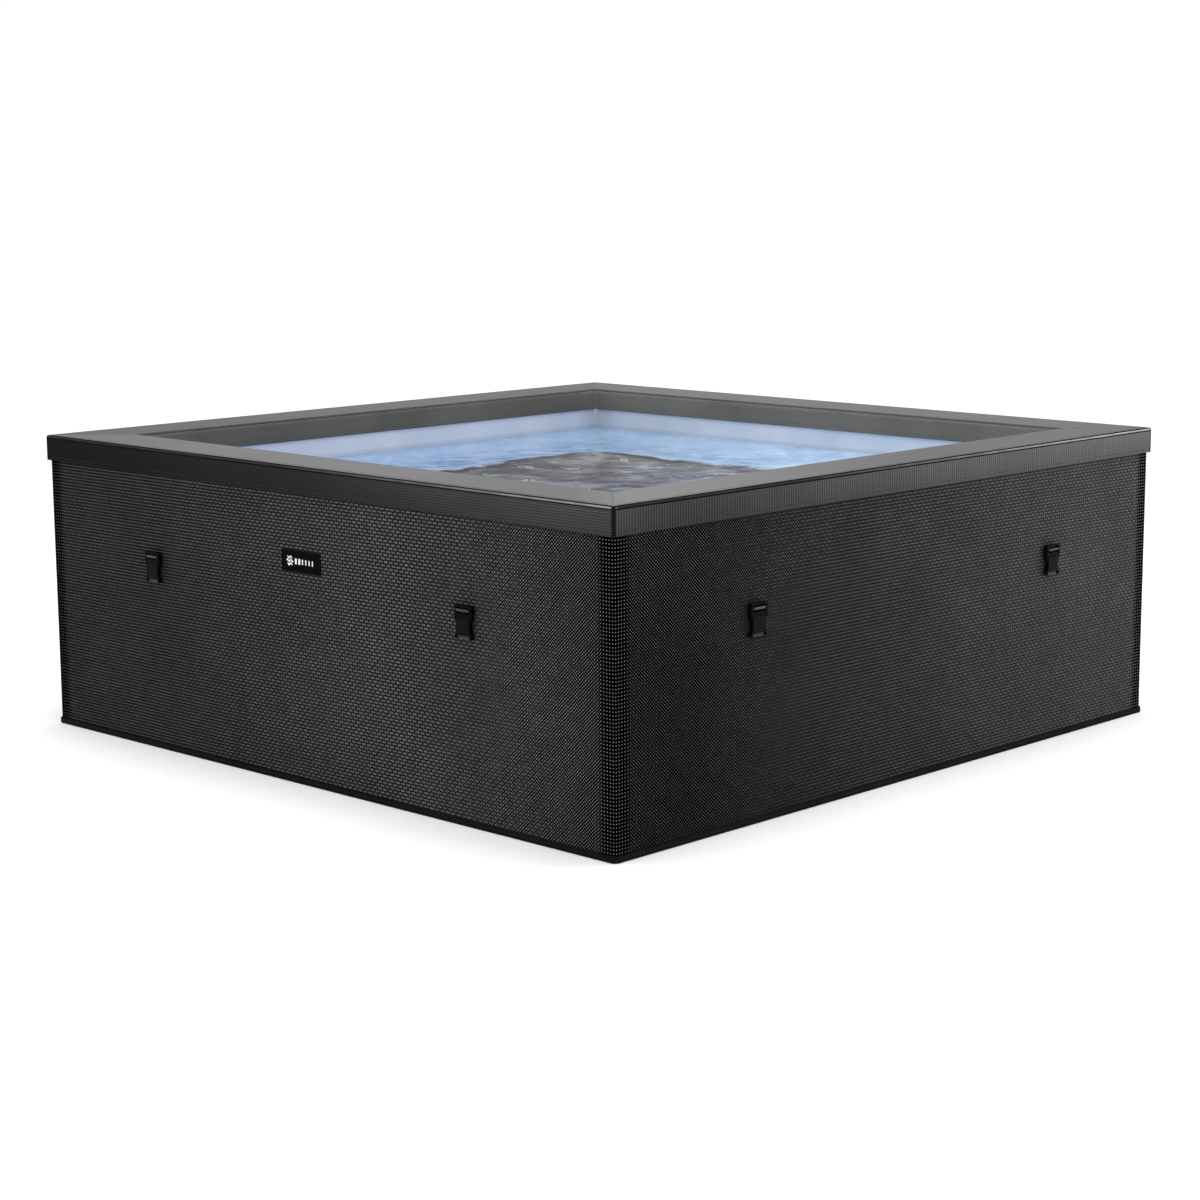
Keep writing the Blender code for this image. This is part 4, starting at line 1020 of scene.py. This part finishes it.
def liner_mesh():
    ns, na = 90, 8
    n = 4 * (ns + na)
    verts, faces = [], []
    for group in (rows, out_rows):
        for h, z, r, wave in group:
            for x, y in square_ring(h, r, ns, na):
                dh = 0.0
                if wave:
                    p = Vector((x * 7.0, y * 7.0, z * 4.0))
                    dh = wave * noise.noise(p)
                    c = min(1.0, max(0.0, (min(abs(x), abs(y)) - h + 0.16) / 0.14))
                    dh += wave * 0.9 * c * math.sin(z * 95 + 2.5 * noise.noise(Vector((x * 3, y * 3, 0)))) * (0.4 + noise.noise(p * 0.7))
                    dh *= min(1.0, (SKIRT_LO + 0.03 - z) / 0.03) if z > SKIRT_LO else 1.0
                k = (h - abs(dh)) / h
                verts.append((x * k, y * k, z))
    m = len(rows) + len(out_rows)
    for i in range(m):
        if i == len(rows) - 1:
            continue
        a, b = i * n, ((i + 1) % m) * n
        for j in range(n):
            q = (j + 1) % n
            faces.append((a + j, a + q, b + q, b + j))
    a = (len(rows) - 1) * n
    faces.append(tuple(a + j for j in range(n)))
    b = len(rows) * n
    faces.append(tuple(b + j for j in range(n - 1, -1, -1)))
    return verts, faces


verts, faces = liner_mesh()
liner = piece("basin_liner", verts, faces, MAT["liner"], slot="liner_blue", sharp=50)
cut(liner, round_cutters(LINER_IN - 0.03, LINER_OUT + 0.03))
liner.data.shade_smooth()
liner.data.set_sharp_from_angle(angle=math.radians(50))
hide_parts("inner_liner")

# welded seams at the basin's corners: narrow raised strips
for k, corner in enumerate(("front_right", "back_right", "back_left", "front_left")):
    spin = Matrix.Rotation(math.radians(90 * k), 4, "Z")
    c, r0 = LINER_IN - 0.0005 - 0.012, 0.012
    verts, faces = [], []
    zs = np.linspace(floor_top + 0.02, SKIRT_LO + 0.03, 40)
    cross = [(-62, 0.0), (-52, 0.0004), (-30, 0.0006), (0, 0.0006), (30, 0.0006), (52, 0.0004), (62, 0.0)]
    for z in zs:
        for a, lift in cross + [(62, -0.0008), (-62, -0.0008)]:
            an = math.radians(-45 + a * 0.62)
            rr = r0 - lift
            verts.append(spin @ Vector((c + rr * math.cos(an), -c + rr * math.sin(an), z)))
    n = len(cross) + 2
    for j in range(len(zs) - 1):
        for i in range(n):
            a, b = j * n + i, j * n + (i + 1) % n
            faces.append((a, b, b + n, a + n))
    faces.append(tuple(range(n)))
    faces.append(tuple((len(zs) - 1) * n + i for i in range(n)))
    piece("basin_weld_" + corner, verts, faces, MAT["weld"], slot="liner_blue", sharp=60)

# ---------------------------------------------------------------- water
WH = LINER_IN + 0.0006
NW = 300


def smin(a, b, k):
    h = max(k - abs(a - b), 0.0) / k
    return min(a, b) - h * h * k * 0.25


def water_z(x, y):
    """The water's height over its mean level: long soft waves, a lifted edge round the churned part and a hump at its far corner."""
    w = 0.05 * noise.noise(Vector((x * 3.4, y * 3.4, 0.3)))
    e = smin(x - PATCH[0] + w, PATCH[1] - y + w, 0.17)
    p = max(0.0, min(1.0, (e + 0.01) / 0.06))
    p = p * p * (3 - 2 * p)
    z = 0.0014 * noise.fractal(Vector((x * 5.0, y * 5.0, 1.0)), 0.9, 2.0, 4)
    z += 0.0007 * math.sin((x * 0.7 + y * 0.7) * 60 + 3 * noise.noise(Vector((x * 3, y * 3, 9))))
    rough = noise.fractal(Vector((x * 6.5, y * 6.5, 4.0)), 1.0, 2.1, 4)
    rings_ = math.sin(46 * math.hypot(x - 0.02, y + 0.05) + 4.0 * noise.noise(Vector((x * 5, y * 5, 2.0))))
    z += p * (0.0024 * rough + 0.0009 * rings_)
    z += 0.0085 * math.exp(-(((x + 0.30) / 0.085) ** 2 + ((y - 0.27) / 0.085) ** 2)) * p
    z += 0.0028 * math.exp(-((e - 0.02) / 0.025) ** 2)
    edge = min(1.0, (WH - max(abs(x), abs(y))) / 0.05)
    return z * (0.25 + 0.75 * edge)


verts, faces = [], []
n = NW + 1
for j in range(n):
    for i in range(n):
        x, y = -WH + 2 * WH * i / NW, -WH + 2 * WH * j / NW
        verts.append((x, y, WATER + water_z(x, y)))
for x, y in ((-WH, -WH), (WH, -WH), (WH, WH), (-WH, WH)):
    verts.append((x, y, WATER - 0.03))
b = n * n
for j in range(NW):
    for i in range(NW):
        a = j * n + i
        faces.append((a, a + 1, a + n + 1, a + n))
faces.append((b + 3, b + 2, b + 1, b))
faces.append(tuple([i for i in range(NW, -1, -1)] + [b, b + 1]))
faces.append(tuple([j * n + NW for j in range(NW, -1, -1)] + [b + 1, b + 2]))
faces.append(tuple([NW * n + i for i in range(n)] + [b + 2, b + 3]))
faces.append(tuple([j * n for j in range(n)] + [b + 3, b]))
piece("water_surface", verts, faces, MAT["water"], slot="duct_blue", sharp=80)

# ---------------------------------------------------------------- strap tabs behind the clips
for place, (side, middle) in CLIPS.items():
    spin = turned(side)
    local = spin.inverted() @ middle
    cx, cz = local.x, 0.427
    bar_v, bar_n, r = -0.031, 0.0054, 0.00335
    path = [(0.0011, 0.016 - i * 0.0055) for i in range(8)]
    path += [(0.0014, -0.0265), (0.00185, -0.0290)]
    for i in range(15):
        a = math.radians(180 + 20 * i)
        path.append((bar_n + r * math.cos(a), bar_v + r * math.sin(a)))
    verts, faces = [], []
    half_w, half_t = 0.0188, 0.00072
    cross = []
    for i in range(9):
        cross.append((-half_w + 2 * half_w * i / 8, 1.0 if 0 < i < 8 else 0.55))
    ring_n = 18
    for k, (pn, pz) in enumerate(path):
        a = path[max(0, k - 1)]
        b2 = path[min(len(path) - 1, k + 1)]
        tn, tz = b2[0] - a[0], b2[1] - a[1]
        ln = math.hypot(tn, tz)
        nn, nz_ = -tz / ln, tn / ln
        for w, f in cross:
            verts.append(spin @ Vector((cx + w, -WALL_HALF - (pn + nn * half_t * f), cz + pz + nz_ * half_t * f)))
        for w, f in reversed(cross):
            verts.append(spin @ Vector((cx + w, -WALL_HALF - (pn - nn * half_t * f), cz + pz - nz_ * half_t * f)))
    for k in range(len(path) - 1):
        for i in range(ring_n):
            a, b2 = k * ring_n + i, k * ring_n + (i + 1) % ring_n
            faces.append((a, b2, b2 + ring_n, a + ring_n))
    faces.append(tuple(range(ring_n)))
    faces.append(tuple((len(path) - 1) * ring_n + i for i in range(ring_n)))
    o = piece("strap_tab_" + place, verts, faces, MAT["webbing"], slot="webbing", sharp=60)
    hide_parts("clip_tab_" + place)

# ---------------------------------------------------------------- rounded grip bars on the clips' heads
for place, (side, middle) in CLIPS.items():
    spin = turned(side)
    local = spin.inverted() @ middle
    cx, cz, face = local.x, 0.427 + 0.0242, WALL_HALF + 0.0138
    stations = [(-0.0186, 0.25), (-0.0180, 0.62), (-0.0168, 0.90), (-0.0150, 1.0), (0.0, 1.04), (0.0150, 1.0), (0.0168, 0.90), (0.0180, 0.62), (0.0186, 0.25)]
    verts, faces = [], []
    ring_n = 14
    for w, k in stations:
        for i in range(ring_n):
            a = 2 * math.pi * i / ring_n
            verts.append(spin @ Vector((cx + w, -(face + 0.0017 * k * math.cos(a) - 0.0002), cz + 0.0029 * k * math.sin(a))))
    for j in range(len(stations) - 1):
        for i in range(ring_n):
            q = (i + 1) % ring_n
            faces.append((j * ring_n + i, j * ring_n + q, (j + 1) * ring_n + q, (j + 1) * ring_n + i))
    faces.append(tuple(range(ring_n)))
    faces.append(tuple((len(stations) - 1) * ring_n + i for i in range(ring_n)))
    piece("clip_grip_bar_" + place, verts, faces, MAT["clip_bar_painted_highlight"], body="clip_head_" + place, slot="black_plastic", sharp=60)

# ---------------------------------------------------------------- clips and fittings that stay as CAD
for place in CLIPS:
    paint("clip_receptacle_" + place, MAT["clip_body"], width=0.0005)
    paint("clip_insert_" + place, MAT["clip"], width=0.0005)
for node in ("outlet_cap", "return_cap", "air_cap", "drain_cap"):
    paint(node, MAT["cap"], width=0.0006)
for node in ("outlet_union", "return_union", "air_union", "drain_valve"):
    paint(node, MAT["grey"], width=0.0006)
for node in ("filter_base", "return_grille", "drain_plug"):
    paint(node, MAT["white"], width=0.0005)
paint("filter_cartridge", MAT["paper"], width=0.0004)
for node in ("bubble_ring", "air_riser_duct"):
    paint(node, MAT["duct"], width=0.0008)

# ---------------------------------------------------------------- label plate, with a plain wave sign and plain bars
lw, lh = (label_hi.x - label_lo.x) / 2, (label_hi.z - label_lo.z) / 2
lz, ly0, ly1 = (label_hi.z + label_lo.z) / 2, label_hi.y, label_lo.y


def rounded_rect(w, h, r, n=6):
    out = []
    for cx, cz, a0 in ((w - r, h - r, 0), (-w + r, h - r, 90), (-w + r, -h + r, 180), (w - r, -h + r, 270)):
        out += [(cx + r * math.cos(math.radians(a0 + 90 * i / n)), cz + r * math.sin(math.radians(a0 + 90 * i / n))) for i in range(n + 1)]
    return out


verts, faces = [], []
steps = [(ly0, 0.0), (ly1 + 0.0004, 0.0), (ly1 + 0.0001, 0.0003), (ly1, 0.0008), (ly1, 0.0022), (ly1 + 0.00025, 0.0026), (ly1 + 0.00025, 0.0040)]
for y, inset in steps:
    for x, z in rounded_rect(lw - inset, lh - inset, max(0.0006, 0.0045 - inset)):
        verts.append((x, y, lz + z))
n = len(rounded_rect(lw, lh, 0.004))
for s in range(len(steps) - 1):
    for i in range(n):
        q = (i + 1) % n
        faces.append((s * n + i, s * n + q, (s + 1) * n + q, (s + 1) * n + i))
faces.append(tuple(range(n)))
faces.append(tuple((len(steps) - 1) * n + i for i in range(n)))
o = piece("label_plate_moulded", verts, faces, MAT["plate"], slot="label")
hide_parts("label_plate")


def raised(name, outlines, y, thick, mat):
    """Flat printed shapes: each outline is a strip of (upper, lower) point pairs."""
    verts, faces = [], []
    for pairs in outlines:
        base = len(verts)
        for layer in (0.0, thick):
            for (x1, z1), (x2, z2) in pairs:
                verts.append((x1, y - layer, z1))
                verts.append((x2, y - layer, z2))
        n, m = len(pairs), 2 * len(pairs)
        for i in range(n - 1):
            a = base + 2 * i
            faces.append((a, a + 1, a + 3, a + 2))
            faces.append((a + m, a + m + 2, a + m + 3, a + m + 1))
            faces.append((a, a + 2, a + 2 + m, a + m))
            faces.append((a + 1, a + 1 + m, a + 3 + m, a + 3))
        for i in (0, n - 1):
            a = base + 2 * i
            faces.append((a, a + m, a + m + 1, a + 1))
    return piece(name, verts, faces, mat, slot="label")


shapes = []
for row, (amp, half_t, z0) in enumerate(((0.0020, 0.0020, 0.0074), (0.0020, 0.0020, 0.0000), (0.0020, 0.0020, -0.0074))):
    pairs = []
    reach = (0.0085, 0.0118, 0.0085)[row]
    for i in range(25):
        x = -reach + 2 * reach * i / 24
        taper = min(1.0, (i + 0.6) / 4, (24.6 - i) / 4)
        z = z0 + amp * math.sin(x * 2 * math.pi / 0.0115)
        pairs.append(((-0.037 + x, lz + z + half_t * taper), (-0.037 + x, lz + z - half_t * taper)))
    shapes.append(pairs)
for x0, width, reach in ((-0.0200, 0.0062, 0.0062), (-0.0085, 0.0062, 0.0062), (0.0035, 0.0036, 0.0056), (0.0145, 0.0036, 0.0056), (0.0255, 0.0036, 0.0056), (0.0365, 0.0036, 0.0056)):
    shapes.append([((x0 + width * i / 3, lz + reach), (x0 + width * i / 3, lz - reach)) for i in range(4)])
raised("label_mark", shapes, ly1 + 0.0003, 0.00022, MAT["ink"])

# ---------------------------------------------------------------- studio: floor, light, camera
me = bpy.data.meshes.new("studio_floor")
me.from_pydata([(-60, -60, -0.0005), (60, -60, -0.0005), (60, 60, -0.0005), (-60, 60, -0.0005)], [], [(0, 1, 2, 3)])
me.materials.append(pale_floor())
floor = bpy.data.objects.new("studio_floor", me)
bpy.context.scene.collection.objects.link(floor)

world = bpy.data.worlds.new("studio")
bpy.context.scene.world = world
world.use_nodes = True
bg = world.node_tree.nodes["Background"]
bg.inputs["Color"].default_value = (1.0, 1.0, 1.0, 1.0)
bg.inputs["Strength"].default_value = 1.02


def area(name, at, to, size, power, colour=(1, 1, 1), size_y=None):
    l = bpy.data.lights.new(name, "AREA")
    l.energy, l.color = power, colour
    l.shape = "RECTANGLE"
    l.size, l.size_y = size, size_y or size
    o = bpy.data.objects.new(name, l)
    bpy.context.scene.collection.objects.link(o)
    o.location = at
    o.rotation_euler = (Vector(to) - Vector(at)).to_track_quat("-Z", "Y").to_euler()
    return o


area("key_over", (0.2, -0.1, 3.4), (0, 0, 0.6), 2.4, 90)
area("right_rake", (3.6, 2.6, 1.3), (0.9, 0.5, 0.4), 1.2, 25)

cam = bpy.data.cameras.new("camera")
camera = bpy.data.objects.new("camera", cam)
bpy.context.scene.collection.objects.link(camera)
right_, up_ = Vector((0.7269334, 0.6866978, -0.0037355)), Vector((-0.1152266, 0.1273370, 0.9851437))
back_ = Vector((0.6769717, -0.7157034, 0.1716914))
camera.matrix_world = Matrix.Translation((4.27134, -4.40815, 1.36193)) @ Matrix((right_, up_, back_)).transposed().to_4x4()
cam.sensor_width, cam.lens = 36.0, 77.265
cam.shift_x, cam.shift_y = -0.02798, -0.00109
cam.clip_start, cam.clip_end = 0.05, 200
bpy.context.scene.camera = camera
bpy.context.scene.view_settings.view_transform = "Standard"
bpy.context.scene.view_settings.look = "None"
